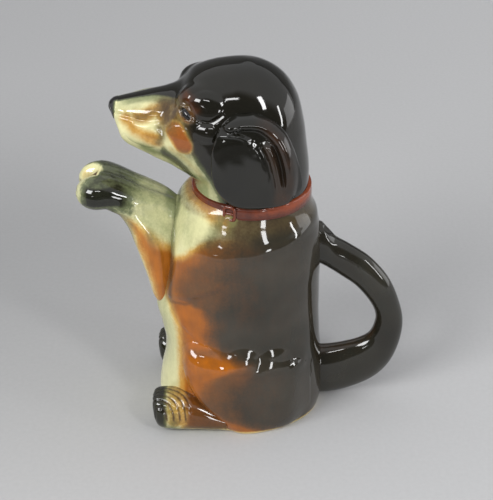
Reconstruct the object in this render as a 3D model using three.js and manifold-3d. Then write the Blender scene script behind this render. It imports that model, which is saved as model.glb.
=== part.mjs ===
// Figural pottery jug: a hound that sits up and begs. The body is a hollow jug on an unglazed foot,
// the merged forelegs are its spout, the tail curls into the handle, and the head lifts off as the lid.
// Millimetres. The dog faces -X, its left side is -Y, +Z is up, and Z = 0 is the table.

import * as THREE from 'three';
import { mergeVertices } from 'three/addons/utils/BufferGeometryUtils.js';
import Module from 'manifold-3d';

const wasm = await Module();
wasm.setup();

// Driving dimensions of the pottery
const wall = 4.5; // cast clay thickness
const lutingGap = 0.3; // glaze line where two pieces meet
const overrun = 4; // how far a cutting shape runs past what it cuts

// Driving dimensions of the torso. Reaches are measured from the vessel axis, X = 0.
const torsoHeight = 134;
const chestReach = 46.5;
const backReach = 44;
const torsoSide = 37;
const floorHeight = 8; // inside floor above the table
const footRimWidth = 6.5;
const footRecess = 2.5;
const thighTop = 55;
const thighReach = 45;
const thighOut = 30.6; // side of the body to the middle of the thigh
const thighSide = 10.5;

// Driving dimensions of the neck, the collar and the lid's seat
const neckAxis = 4.7; // the neck stands this far behind the vessel axis
const neckRise = 2.7; // the neck stands this far above the torso's rings
const neckRadius = 28.6;
const neckBore = 25;
const neckDepth = 20;
const collarHeight = 7;
const collarThickness = 2.3;
const buckleWidth = 7.5;
const buckleHeight = 9;
const buckleThickness = 1.6;
const buckleBar = 1.9;
const buckleTurn = 69; // degrees from the chest towards the left side
const flangeDepth = 12.5;
const flangeThickness = 3;
const flangeClearance = 0.6;

// Driving dimensions of the forelegs, which are the spout
const forepawReach = 85;
const forepawTop = 144;
const forelegSide = 19.5;
const pourHole = 3.5; // radius
const pourHoleDrop = 8.4; // the hole's middle below the top of the forearms
const pawLength = 9; // half sizes of one paw
const pawSide = 8.6;
const pawHeight = 8.8;
const pawOut = 7.7;
const pawDrop = 10.6; // the middle of a paw below the top of the forearms

// Driving dimensions of the tail handle
const handleReach = 88;
const handleRise = 113;
const handleSide = 6.8;

// Driving dimensions of the hind feet
const footReach = 48.9;
const footLength = 40;
const footHeight = 22.5;
const footSide = 11.5;
const footOut = 29;
const footLift = 0.4; // the feet stop just short of the table, so the rim alone stands on it

// Driving dimensions of the head
const headLength = 100;
const headHeight = 66;
const headSide = 30;
const crownBossRadius = 6;
const crownBossRise = 3.6;
const browLength = 11.5; // half sizes of the brow and temple
const browSide = 7.5;
const browHeight = 7.2;
const earThickness = 3.6; // half the thickness at the middle
const earOut = 31.5;
const noseLength = 6.4; // half sizes of the black nose
const noseSide = 8.5;
const noseHeight = 6.6;
const eyeLength = 2.9; // half sizes of an eye
const eyeSide = 3;
const eyeHeight = 3.4;
const eyeRise = 0.7; // how far an eye stands out of the head

// Sizes that follow from the driving dimensions
const neckTop = torsoHeight + neckRise;
const pourHoleHeight = forepawTop - pourHoleDrop;
const pawLevel = forepawTop - pawDrop;
const headSeat = neckTop + lutingGap;
const collarInner = neckRadius + lutingGap;
const collarOuter = collarInner + collarThickness;
const flangeOuter = neckBore - flangeClearance;
const flangeInner = flangeOuter - flangeThickness;

// Glaze colours
const blackGlaze = { color: 0x1b1510, roughness: 0.12, metalness: 0 };
const brownGlaze = { color: 0x4a2a16, roughness: 0.14, metalness: 0 };
const creamGlaze = { color: 0xcdc79a, roughness: 0.14, metalness: 0 };
const collarGlaze = { color: 0x7d2f22, roughness: 0.15, metalness: 0 };
const bareClay = { color: 0xd9cfba, roughness: 0.75, metalness: 0 };

// Torso rings from the foot to the neck: height, chest, back and side, as shares of the torso's sizes
const torsoShares = [
  [0.0, 0.946, 0.967, 0.959],
  [0.06, 1.0, 1.0, 1.0],
  [0.15, 0.975, 1.0, 1.0],
  [0.24, 0.925, 0.985, 0.985],
  [0.33, 0.918, 0.96, 0.962],
  [0.42, 0.962, 0.944, 0.951],
  [0.5, 1.01, 0.938, 0.951],
  [0.585, 0.96, 0.938, 0.96],
  [0.69, 0.88, 0.94, 0.973],
  [0.775, 0.85, 0.936, 0.978],
  [0.845, 0.817, 0.913, 0.957],
  [0.905, 0.774, 0.86, 0.916],
  [0.95, 0.73, 0.807, 0.87],
  [0.98, 0.667, 0.776, 0.83],
  [1.0, 0.581, 0.751, 0.79],
];

// Thigh rings from the knee to the rump: place along X, underside, top, middle to the side, fullness
const thighShares = [
  [-0.71, 0.7, 0.93, 0.88, 0.5],
  [-0.63, 0.5, 1.01, 0.93, 0.85],
  [-0.47, 0.29, 1.01, 0.98, 1.0],
  [-0.22, 0.06, 0.965, 1.0, 1.0],
  [0.04, -0.1, 0.93, 0.985, 1.0],
  [0.33, -0.06, 0.88, 0.92, 1.0],
  [0.6, 0.01, 0.82, 0.8, 0.95],
  [0.82, 0.1, 0.73, 0.5, 0.7],
];

// Foreleg rings from the elbow to the paws: rear outline, front outline and side
const forelegShares = [
  [-0.388, 0.458, -0.494, 0.444, 0.41],
  [-0.318, 0.5, -0.565, 0.486, 0.77],
  [-0.282, 0.597, -0.606, 0.583, 0.95],
  [-0.282, 0.722, -0.665, 0.701, 1.0],
  [-0.318, 0.819, -0.712, 0.785, 1.0],
  [-0.424, 0.889, -0.771, 0.844, 1.0],
  [-0.565, 0.927, -0.829, 0.863, 0.99],
  [-0.694, 0.965, -0.888, 0.872, 0.97],
  [-0.788, 0.99, -0.935, 0.882, 0.95],
  [-0.841, 0.997, -0.976, 0.904, 0.87],
];

// Spout passage rings from the belly to the pour hole: upper outline, lower outline and side
const passageShares = [
  [-0.26, 0.806, -0.26, 0.585, 0.62],
  [-0.424, 0.844, -0.447, 0.646, 0.62],
  [-0.553, 0.885, -0.612, 0.743, 0.51],
  [-0.659, 0.92, -0.729, 0.837, 0.4],
];

// Handle rings from the upper root to the lower: outer outline, inner outline and side
const handleShares = [
  [0.425, 1.0, 0.425, 0.79, 1.2],
  [0.49, 0.98, 0.485, 0.765, 1.1],
  [0.56, 0.912, 0.54, 0.737, 1.0],
  [0.65, 0.867, 0.605, 0.7, 0.97],
  [0.78, 0.793, 0.693, 0.646, 0.95],
  [0.897, 0.68, 0.776, 0.566, 0.95],
  [0.969, 0.549, 0.822, 0.494, 0.95],
  [1.0, 0.434, 0.825, 0.429, 0.95],
  [0.984, 0.31, 0.79, 0.361, 0.97],
  [0.93, 0.193, 0.716, 0.326, 1.0],
  [0.835, 0.106, 0.625, 0.306, 1.05],
  [0.693, 0.046, 0.557, 0.296, 1.15],
  [0.557, 0.018, 0.5, 0.292, 1.25],
  [0.432, 0.014, 0.42, 0.292, 1.3],
];

// Hind foot rings from the toes back: place along the foot, top, underside and fullness
const footShares = [
  [0.0, 0.85, 0.55, 0.4],
  [0.03, 0.95, 0.25, 0.75],
  [0.1, 1.0, 0.06, 0.93],
  [0.27, 1.0, 0.0, 1.0],
  [0.5, 0.97, 0.0, 1.0],
  [0.75, 0.8, 0.0, 0.97],
  [1.0, 0.55, 0.0, 0.88],
];

// Head rings, fanned about the throat from the neck to the nose, measured from the seat on the neck:
// outline over the crown, outline under the jaw, and side
const headShares = [
  [0.293, 0.0, -0.293, 0.0, 0.977],
  [0.293, 0.152, -0.297, 0.053, 0.987],
  [0.278, 0.348, -0.312, 0.098, 1.0],
  [0.261, 0.53, -0.352, 0.136, 0.993],
  [0.224, 0.738, -0.397, 0.171, 0.96],
  [0.145, 0.905, -0.432, 0.197, 0.9],
  [0.018, 1.0, -0.467, 0.217, 0.833],
  [-0.145, 0.995, -0.497, 0.238, 0.76],
  [-0.275, 0.935, -0.522, 0.258, 0.677],
  [-0.352, 0.826, -0.547, 0.276, 0.583],
  [-0.417, 0.785, -0.572, 0.292, 0.51],
  [-0.497, 0.758, -0.6, 0.315, 0.46],
  [-0.577, 0.73, -0.627, 0.338, 0.413],
  [-0.642, 0.708, -0.655, 0.386, 0.36],
  [-0.682, 0.692, -0.668, 0.455, 0.283],
  [-0.705, 0.67, -0.683, 0.535, 0.167],
  [-0.713, 0.641, -0.7, 0.59, 0.067],
];
const headHollowRings = [1, 12]; // the hollow follows these head rings, from the neck into the muzzle
const crownBossShares = [-0.022, 0.955]; // middle of the low boss on the crown
const browShares = [-0.242, 0.785, 0.45]; // along, up and to the side
const noseShares = [-0.712, 0.63];
const eyeShares = [-0.318, 0.7, 0.68]; // along, up and to the side

// Ear rings from the root to the tip: back edge, front edge, distance to the side and fullness
const earShares = [
  [0.01, 0.745, -0.08, 0.735, 0.8, 0.5],
  [0.093, 0.71, -0.14, 0.68, 0.9, 0.9],
  [0.162, 0.625, -0.178, 0.575, 0.985, 1.0],
  [0.213, 0.455, -0.197, 0.455, 1.03, 1.0],
  [0.243, 0.258, -0.195, 0.273, 1.04, 1.0],
  [0.233, 0.152, -0.167, 0.152, 1.035, 0.95],
  [0.173, 0.061, -0.107, 0.053, 1.025, 0.85],
  [0.073, 0.02, -0.047, 0.016, 1.02, 0.5],
];

// Facets around and along each skin
const bodyFacets = { around: 36, along: 22 };
const hollowFacets = { around: 20, along: 10 };
const thighFacets = { around: 18, along: 12 };
const forelegFacets = { around: 24, along: 15 };
const passageFacets = { around: 14, along: 10 };
const handleFacets = { around: 16, along: 26 };
const footFacets = { around: 20, along: 10 };
const headFacets = { around: 28, along: 25 };
const earFacets = { around: 18, along: 12 };
const ringFacets = 44;
const lumpFacets = 16;
const cornerFacets = 3;

// One ring of a loft: it spans from its lower to its upper point in the XZ plane and bulges to both
// sides along Y by its side, about a middle that stands out to the side by out.
function ring(topX, topZ, footX, footZ, side, out = 0) {
  return { top: new THREE.Vector2(topX, topZ), foot: new THREE.Vector2(footX, footZ), side, out };
}

// A closed skin through rings. Splines carry the outlines and the sides from ring to ring, each
// section is a superellipse of the given power, and grow thickens the skin all over.
function loft(rings, { around, along }, { power = 2, grow = 0 } = {}) {
  const upper = new THREE.SplineCurve(rings.map((r) => r.top));
  const lower = new THREE.SplineCurve(rings.map((r) => r.foot));
  const girth = new THREE.SplineCurve(rings.map((r) => new THREE.Vector2(r.side, r.out)));
  const middles = [];
  const positions = [];
  for (let i = 0; i <= along; i += 1) {
    const top = upper.getPoint(i / along);
    const foot = lower.getPoint(i / along);
    middles.push(top.clone().add(foot).multiplyScalar(1 / 2));
  }
  for (let i = 0; i <= along; i += 1) {
    const top = upper.getPoint(i / along);
    const foot = lower.getPoint(i / along);
    const { x: side, y: out } = girth.getPoint(i / along);
    const middle = middles[i].clone();
    if (i === 0) middle.add(middles[0].clone().sub(middles[1]).setLength(grow));
    if (i === along) middle.add(middles[along].clone().sub(middles[along - 1]).setLength(grow));
    const reach = top.clone().sub(foot);
    const half = reach.length() / 2 + grow;
    reach.normalize();
    for (let k = 0; k < around; k += 1) {
      const turn = (k / around) * 2 * Math.PI;
      const lengthwise = half * bulge(Math.cos(turn), power);
      const sideways = (side + grow) * bulge(Math.sin(turn), power);
      positions.push(middle.x + reach.x * lengthwise, out + sideways, middle.y + reach.y * lengthwise);
    }
    if (i === 0 || i === along) middles[i] = new THREE.Vector3(middle.x, out, middle.y);
  }
  return closeSkin(positions, around, along, middles[0], middles[along]);
}

// The signed power that turns a circle's sine or cosine into a superellipse's.
function bulge(value, power) {
  return Math.sign(value) * Math.abs(value) ** (2 / power);
}

// Joins rings of points into one closed geometry, with a fan over each end.
function closeSkin(positions, around, along, start, end) {
  const first = positions.length / 3;
  positions.push(start.x, start.y, start.z, end.x, end.y, end.z);
  const index = [];
  for (let k = 0; k < around; k += 1) {
    const next = (k + 1) % around;
    for (let i = 0; i < along; i += 1) {
      const here = i * around;
      const beyond = here + around;
      index.push(here + k, beyond + k, beyond + next, here + k, beyond + next, here + next);
    }
    const last = along * around;
    index.push(first, k, next, first + 1, last + next, last + k);
  }
  const geometry = new THREE.BufferGeometry();
  geometry.setAttribute('position', new THREE.Float32BufferAttribute(positions, 3));
  geometry.setIndex(signedVolume(positions, index) < 0 ? index.reverse() : index);
  return geometry;
}

// Six times the volume inside an indexed skin, negative where its faces point inwards.
function signedVolume(positions, index) {
  const corner = (i) => new THREE.Vector3().fromArray(positions, 3 * index[i]);
  let sum = 0;
  for (let i = 0; i < index.length; i += 3) {
    sum += corner(i).dot(corner(i + 1).cross(corner(i + 2)));
  }
  return sum;
}

// A closed geometry as a solid that can be joined and cut.
function solid(geometry) {
  const bare = geometry.clone();
  bare.deleteAttribute('normal');
  bare.deleteAttribute('uv');
  const merged = mergeVertices(bare);
  const vertProperties = new Float32Array(merged.attributes.position.array);
  const triVerts = new Uint32Array(merged.index.array);
  return new wasm.Manifold(new wasm.Mesh({ numProp: 3, vertProperties, triVerts }));
}

// A solid as a geometry again.
function skinOf(body) {
  const { vertProperties, triVerts } = body.getMesh();
  const geometry = new THREE.BufferGeometry();
  geometry.setAttribute('position', new THREE.Float32BufferAttribute(vertProperties, 3));
  geometry.setIndex(new THREE.Uint32BufferAttribute(triVerts, 1));
  geometry.computeVertexNormals();
  return geometry;
}

// A tube about the neck's axis, or a full disc where the inner radius is zero.
function turned(inner, outer, low, high) {
  const profile = inner > 0
    ? [[inner, low], [outer, low], [outer, high], [inner, high], [inner, low]]
    : [[0, low], [outer, low], [outer, high], [0, high]];
  const geometry = new THREE.LatheGeometry(profile.map(([r, z]) => new THREE.Vector2(r, z)), ringFacets);
  geometry.rotateX(Math.PI / 2);
  geometry.translate(neckAxis, 0, 0);
  return solid(geometry);
}

// An egg shaped lump with the given half sizes.
function lump(x, y, z, length, side, height) {
  const geometry = new THREE.SphereGeometry(1, lumpFacets, lumpFacets / 2);
  geometry.rotateX(Math.PI / 2);
  geometry.scale(length, side, height);
  geometry.translate(x, y, z);
  return solid(geometry);
}

// Torso rings, drawn in by inset for the hollow.
function torsoRings(shares, inset) {
  return shares.map(([level, chest, back, side]) => {
    const height = level * torsoHeight;
    const [rear, front] = [back * backReach - inset, inset - chest * chestReach];
    return ring(rear, height, front, height, side * torsoSide - inset);
  });
}

function torso(grow = 0) {
  return solid(loft(torsoRings(torsoShares, 0), bodyFacets, { power: 2.2, grow }));
}

function thigh(hand, grow = 0) {
  const rings = thighShares.map(([along, under, top, out, full]) => ring(
    along * thighReach, top * thighTop, along * thighReach, under * thighTop,
    full * thighSide, hand * out * thighOut,
  ));
  return solid(loft(rings, thighFacets, { power: 2.8, grow }));
}

// The outside of the jug's body, level at its foot. The pieces that meet it are cut by a larger copy.
function bodySkin(grow = 0) {
  const neck = turned(0, neckRadius + grow, torsoHeight - neckDepth, neckTop + grow);
  const body = torso(grow).add(thigh(-1, grow)).add(thigh(1, grow)).add(neck);
  return body.trimByPlane([0, 0, 1], -grow);
}

// The hollow of the body: the torso's own rings drawn in by the wall, and the bore of the neck.
function bodyHollow() {
  const floorShare = floorHeight / torsoHeight;
  const roofShare = 1 - (neckDepth / 2) / torsoHeight;
  const inside = torsoShares.filter(([level]) => level > floorShare && level < roofShare);
  const low = [floorShare, ...torsoShares[1].slice(1)];
  const hollow = solid(loft(torsoRings([low, ...inside], wall), hollowFacets, { power: 2.2 }));
  return hollow.add(turned(0, neckBore, torsoHeight - neckDepth, neckTop + overrun));
}

// The shallow recess that leaves an unglazed rim for the jug to stand on.
function footHollow() {
  const [, chest, back, side] = torsoShares[0];
  const rings = [-overrun, footRecess].map((height) => ring(
    back * backReach - footRimWidth, height, footRimWidth - chest * chestReach, height,
    side * torsoSide - footRimWidth,
  ));
  return solid(loft(rings, { around: bodyFacets.around, along: 1 }, { power: 2.2 }));
}

// The passage from the belly through the forelegs, which ends in a level pour hole between the paws.
function spoutPassage() {
  const rings = passageShares.map(([topX, topZ, footX, footZ, side]) => ring(
    topX * forepawReach, topZ * forepawTop, footX * forepawReach, footZ * forepawTop, side * forelegSide,
  ));
  const bore = [3 * pawLength / 2, pawLength, -overrun].map((back) => {
    const x = back - forepawReach;
    return ring(x, pourHoleHeight + pourHole, x, pourHoleHeight - pourHole, pourHole);
  });
  return solid(loft([...rings, ...bore], passageFacets));
}

function forelegs() {
  const rings = forelegShares.map(([topX, topZ, footX, footZ, side]) => ring(
    topX * forepawReach, topZ * forepawTop, footX * forepawReach, footZ * forepawTop, side * forelegSide,
  ));
  const paws = [-1, 1].map((hand) => lump(
    pawLength - forepawReach, hand * pawOut, pawLevel, pawLength, pawSide, pawHeight,
  ));
  return paws.reduce((sum, paw) => sum.add(paw), solid(loft(rings, forelegFacets, { power: 2.5 })));
}

function tailHandle() {
  const rings = handleShares.map(([outX, outZ, inX, inZ, side]) => ring(
    outX * handleReach, outZ * handleRise, inX * handleReach, inZ * handleRise, side * handleSide,
  ));
  return solid(loft(rings, handleFacets));
}

function hindFoot(hand) {
  const rings = footShares.map(([along, top, under, full]) => {
    const x = along * footLength - footReach;
    const [high, low] = [top, under].map((level) => footLift + level * footHeight);
    return ring(x, high, x, low, full * footSide, hand * footOut);
  });
  return solid(loft(rings, footFacets, { power: 2.2 }));
}

// Head rings, drawn in by inset for the hollow.
function headRings(shares, inset) {
  return shares.map(([topX, topZ, footX, footZ, side]) => {
    const top = new THREE.Vector2(neckAxis + topX * headLength, headSeat + topZ * headHeight);
    const foot = new THREE.Vector2(neckAxis + footX * headLength, headSeat + footZ * headHeight);
    const pull = top.clone().sub(foot).setLength(inset);
    return { top: top.sub(pull), foot: foot.add(pull), side: side * headSide - inset, out: 0 };
  });
}

function headSkin(grow = 0) {
  const [bossX, bossZ] = crownBossShares;
  const boss = lump(
    neckAxis + bossX * headLength, 0, headSeat + bossZ * headHeight,
    crownBossRadius + grow, crownBossRadius + grow, crownBossRise + grow,
  );
  const [browX, browZ, browOut] = browShares;
  const brows = [-1, 1].map((hand) => lump(
    neckAxis + browX * headLength, hand * browOut * headSide, headSeat + browZ * headHeight,
    browLength + grow, browSide + grow, browHeight + grow,
  ));
  const skull = solid(loft(headRings(headShares, 0), headFacets, { power: 2.15, grow }));
  return skull.add(boss).add(brows[0]).add(brows[1]);
}

function headHollow() {
  const rings = headRings(headShares.slice(...headHollowRings), wall);
  const way = turned(0, flangeInner, headSeat - overrun, headSeat + neckDepth / 2);
  return solid(loft(rings, hollowFacets)).add(way);
}

function noseLump(grow = 0) {
  const [x, z] = noseShares;
  return lump(
    neckAxis + x * headLength, 0, headSeat + z * headHeight,
    noseLength + grow, noseSide + grow, noseHeight + grow,
  );
}

function eyeLump(hand, grow = 0) {
  const [x, z, out] = eyeShares;
  return lump(
    neckAxis + x * headLength, hand * out * headSide, headSeat + z * headHeight,
    eyeLength + grow, eyeSide + grow, eyeHeight + grow,
  );
}

function ear(hand) {
  const rings = earShares.map(([backX, backZ, frontX, frontZ, out, full]) => ring(
    neckAxis + backX * headLength, headSeat + backZ * headHeight,
    neckAxis + frontX * headLength, headSeat + frontZ * headHeight,
    full * earThickness, hand * out * earOut,
  ));
  return solid(loft(rings, earFacets, { power: 2.3 }));
}

// A rounded frame that lies on the collar, turned round to the dog's left.
function buckle() {
  const frame = roundedRectangle(buckleWidth, buckleHeight, buckleBar);
  const [openWidth, openHeight] = [buckleWidth - 2 * buckleBar, buckleHeight - 2 * buckleBar];
  frame.holes.push(roundedRectangle(openWidth, openHeight, buckleBar / 2));
  const extrusion = { depth: buckleThickness, bevelEnabled: false, curveSegments: cornerFacets };
  const geometry = new THREE.ExtrudeGeometry(frame, extrusion);
  geometry.rotateX(Math.PI / 2);
  geometry.translate(0, -collarOuter - lutingGap, 0);
  geometry.rotateZ(THREE.MathUtils.degToRad(buckleTurn - 90));
  geometry.translate(neckAxis, 0, neckTop - collarHeight / 2);
  return solid(geometry);
}

function roundedRectangle(width, height, radius) {
  const [x, y] = [width / 2, height / 2];
  const shape = new THREE.Shape();
  shape.moveTo(x, -y + radius);
  shape.lineTo(x, y - radius);
  shape.quadraticCurveTo(x, y, x - radius, y);
  shape.lineTo(-x + radius, y);
  shape.quadraticCurveTo(-x, y, -x, y - radius);
  shape.lineTo(-x, -y + radius);
  shape.quadraticCurveTo(-x, -y, -x + radius, -y);
  shape.lineTo(x - radius, -y);
  shape.quadraticCurveTo(x, -y, x, -y + radius);
  return shape;
}

// Named pieces, each a mesh in the jug's group or the lid's group
const jug = new THREE.Group();
const lid = new THREE.Group();

function add(group, name, body, glaze) {
  const mesh = new THREE.Mesh(skinOf(body), new THREE.MeshStandardMaterial(glaze));
  mesh.name = name;
  group.add(mesh);
}

const bodyCutter = bodySkin(lutingGap);
const passage = spoutPassage();
add(jug, 'jug_body', bodySkin().subtract(bodyHollow()).subtract(footHollow()).subtract(passage), blackGlaze);
add(jug, 'foreleg_spout', forelegs().subtract(bodyCutter).subtract(passage), creamGlaze);
add(jug, 'tail_handle', tailHandle().subtract(bodyCutter), blackGlaze);

const collar = turned(collarInner, collarOuter, neckTop - collarHeight, neckTop);
add(jug, 'collar_band', collar.subtract(bodyCutter), collarGlaze);
add(jug, 'collar_buckle', buckle().subtract(bodyCutter), collarGlaze);

const sides = [[-1, 'left'], [1, 'right']];
for (const [hand, side] of sides) {
  add(jug, `${side}_hind_foot`, hindFoot(hand).subtract(bodyCutter), creamGlaze);
}

const headCutter = headSkin(lutingGap);
const sockets = [noseLump(lutingGap), eyeLump(-1, lutingGap), eyeLump(1, lutingGap)];
const skull = sockets.reduce((left, socket) => left.subtract(socket), headSkin());
add(lid, 'head_shell', skull.subtract(headHollow()), brownGlaze);
const flange = turned(flangeInner, flangeOuter, neckTop - flangeDepth, headSeat - lutingGap);
add(lid, 'lid_flange', flange, bareClay);
add(lid, 'nose', headSkin().intersect(noseLump()), blackGlaze);
for (const [hand, side] of sides) {
  add(lid, `${side}_ear`, ear(hand).subtract(headCutter), blackGlaze);
  add(lid, `${side}_eye`, eyeLump(hand).intersect(headSkin(eyeRise)), brownGlaze);
}

// The origin is under the middle of the whole jug, from the paws to the handle.
const dogJug = new THREE.Group();
dogJug.add(jug, lid);
dogJug.position.x = -new THREE.Box3().setFromObject(dogJug).getCenter(new THREE.Vector3()).x;
dogJug.updateMatrixWorld(true);

export default dogJug;
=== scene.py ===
from functools import partial
import math

import bpy
import numpy as np
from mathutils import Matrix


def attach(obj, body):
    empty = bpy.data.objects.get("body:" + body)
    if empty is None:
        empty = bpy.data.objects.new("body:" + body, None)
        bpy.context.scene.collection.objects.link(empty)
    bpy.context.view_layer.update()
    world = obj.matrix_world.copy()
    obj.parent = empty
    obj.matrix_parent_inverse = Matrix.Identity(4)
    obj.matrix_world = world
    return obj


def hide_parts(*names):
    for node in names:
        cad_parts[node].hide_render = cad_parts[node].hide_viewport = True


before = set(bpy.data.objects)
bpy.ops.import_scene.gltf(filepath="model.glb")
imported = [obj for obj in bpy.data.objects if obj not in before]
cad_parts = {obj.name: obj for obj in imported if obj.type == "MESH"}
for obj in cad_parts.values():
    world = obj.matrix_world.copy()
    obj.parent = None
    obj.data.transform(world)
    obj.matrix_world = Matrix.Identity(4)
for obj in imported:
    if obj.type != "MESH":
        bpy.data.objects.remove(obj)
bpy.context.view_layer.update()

# The jug's body
# A hollow cast of white clay in one piece: chest, belly, haunches and neck, 4.5 mm thick. It was sprayed
# with cream, green, chestnut and black glaze over each other and stands on a rim that was wiped bare.


def through(rows, count):
    """A Catmull-Rom spline through rows of numbers, read at count evenly spaced places."""
    rows = np.asarray(rows, float)
    place = np.linspace(0, len(rows) - 1, count)
    first = np.minimum(place.astype(int), len(rows) - 2)
    t = (place - first)[:, None]
    before, here = rows[np.maximum(first - 1, 0)], rows[first]
    after, beyond = rows[first + 1], rows[np.minimum(first + 2, len(rows) - 1)]
    leave, arrive = (after - before) / 2, (beyond - here) / 2
    cubic = 2 * here - 2 * after + leave + arrive
    square = 3 * after - 3 * here - 2 * leave - arrive
    return ((cubic * t + square) * t + leave) * t + here


def turns(count):
    """So many even steps round a circle, as angles from 0."""
    return np.linspace(0, 2 * math.pi, count, endpoint=False)


def bent(wave, power):
    """A wave between -1 and 1 raised to a power on both sides of 0."""
    return np.sign(wave) * np.abs(wave) ** power


def ovals(sections, around, power):
    """Superellipse sections. Each row of numbers gives a section's first outline point (x, z), its second
    outline point (x, z), its half width and its middle along Y. At turn t a point lies at
    middle + half reach * |cos t|^(2/power) and half width * |sin t|^(2/power)."""
    first, second = sections[:, None, 0:2], sections[:, None, 2:4]
    turn = turns(around)
    lengthwise, sideways = bent(np.cos(turn), 2 / power), bent(np.sin(turn), 2 / power)
    flat = (first + second) / 2 + (first - second) / 2 * lengthwise[None, :, None]
    y = sections[:, 5:6] + sections[:, 4:5] * sideways[None, :]
    return np.stack([flat[..., 0], y, flat[..., 1]], -1)


def outward(grid):
    """Unit normals of a grid that closes round: the differences along it crossed with those round it."""
    along = np.gradient(grid, axis=0)
    around = np.roll(grid, -1, 1) - np.roll(grid, 1, 1)
    normal = np.cross(along, around)
    normal /= np.maximum(np.linalg.norm(normal, axis=-1, keepdims=True), 1e-12)
    spread = grid - grid.mean(1, keepdims=True)
    return normal * np.sign((normal * spread).sum(-1).mean())


def raised(points, height):
    """The points moved out along their normals, each by its own height."""
    return points + outward(points) * height[..., None]


def soft(value, start, end):
    """A smooth step from 0 at start to 1 at end."""
    t = np.clip((value - start) / (end - start), 0, 1)
    return t * t * (3 - 2 * t)


def hump(value, width):
    """1 where the value is 0, falling off as e^-(value / width)^2."""
    return np.exp(-(value / width) ** 2)


def away(points, path):
    """How far each point lies from a path of straight stretches, in as many dimensions as both have."""
    path = np.asarray(path, float)
    nearest = np.full(points.shape[:-1], 1e9)
    for a, b in zip(path[:-1], path[1:]):
        share = np.clip(((points - a) @ (b - a)) / ((b - a) @ (b - a)), 0, 1)
        nearest = np.minimum(nearest, np.linalg.norm(points - a - share[..., None] * (b - a), axis=-1))
    return nearest


def band_along(points, path, width):
    """1 on a path, falling off as a hump with the distance from it."""
    return hump(away(points, path), width)


def mirrored(grid):
    """The points with both sides of the dog folded on one another: x, distance from the middle, z."""
    return np.stack([grid[..., 0], np.abs(grid[..., 1]), grid[..., 2]], -1)


coats_of_glaze = ("rust", "green", "brown", "dark", "thin")
millimetre, frame_middle = 0.001, (1.5, 0, 0)


def skin(name, grid, masks=None, ring=False):
    """A closed mesh from rows of points that close round, with a fan on the middle of the first and last
    row, or joined end to end where it is a ring. Millimetres about the body's upright axis become
    metres in the frame, whose middle lies 1.5 mm behind that axis. Masks are kept as attributes."""
    rows, around = grid.shape[:2]
    points = grid.reshape(-1, 3)
    here = np.arange(rows * around).reshape(rows, around)
    there = np.roll(here, -1, 0) if ring else here[1:]
    low = here if ring else here[:-1]
    quads = np.stack([low, there, np.roll(there, -1, 1), np.roll(low, -1, 1)], -1).reshape(-1, 4)
    faces = quads.tolist()
    if not ring:
        points = np.concatenate([points, grid[0].mean(0)[None], grid[-1].mean(0)[None]])
        start, end = np.full(around, rows * around), np.full(around, rows * around + 1)
        faces += np.stack([start, here[0], np.roll(here[0], -1)], -1).tolist()
        faces += np.stack([end, np.roll(here[-1], -1), here[-1]], -1).tolist()
    a, b, c, d = (points[quads[:, k]] for k in range(4))
    volume = (a * np.cross(b, c)).sum() + (a * np.cross(c, d)).sum()
    if volume < 0:
        faces = [face[::-1] for face in faces]
    mesh = bpy.data.meshes.new(name)
    mesh.from_pydata((points - frame_middle) * millimetre, [], faces)
    mesh.polygons.foreach_set("use_smooth", np.ones(len(faces), bool))
    for mask in (*coats_of_glaze, "bare"):
        values = np.clip((masks or {}).get(mask, 0) + np.zeros((rows, around)), 0, 1)
        flat = values.reshape(-1)
        if not ring:
            flat = np.concatenate([flat, [values[0].mean(), values[-1].mean()]])
        mesh.attributes.new(mask, "FLOAT", "POINT").data.foreach_set("value", flat.astype(np.float32))
    mesh.update()
    piece = bpy.data.objects.new(name, mesh)
    bpy.context.scene.collection.objects.link(piece)
    return piece


def maths(tree, operation, *values, clamp=False):
    """The result of a Math node whose values are numbers or the results of other nodes."""
    node = tree.nodes.new("ShaderNodeMath")
    node.operation = operation
    node.use_clamp = clamp
    for slot, value in zip(node.inputs, values):
        if isinstance(value, (int, float)):
            slot.default_value = value
        else:
            tree.links.new(value, slot)
    return node.outputs[0]


def noise(tree, where, scale, detail):
    """Noise with so many grains to the metre."""
    node = tree.nodes.new("ShaderNodeTexNoise")
    node.inputs["Scale"].default_value = scale
    node.inputs["Detail"].default_value = detail
    tree.links.new(where, node.inputs["Vector"])
    return node.outputs["Fac"]


def ranged(tree, value, start, end, low, high, kind="SMOOTHSTEP"):
    """A value carried from low at start to high at end, and held beyond them."""
    node = tree.nodes.new("ShaderNodeMapRange")
    node.interpolation_type = kind
    for title, number in (("From Min", start), ("From Max", end), ("To Min", low), ("To Max", high)):
        node.inputs[title].default_value = number
    tree.links.new(value, node.inputs["Value"])
    return node.outputs["Result"]


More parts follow.
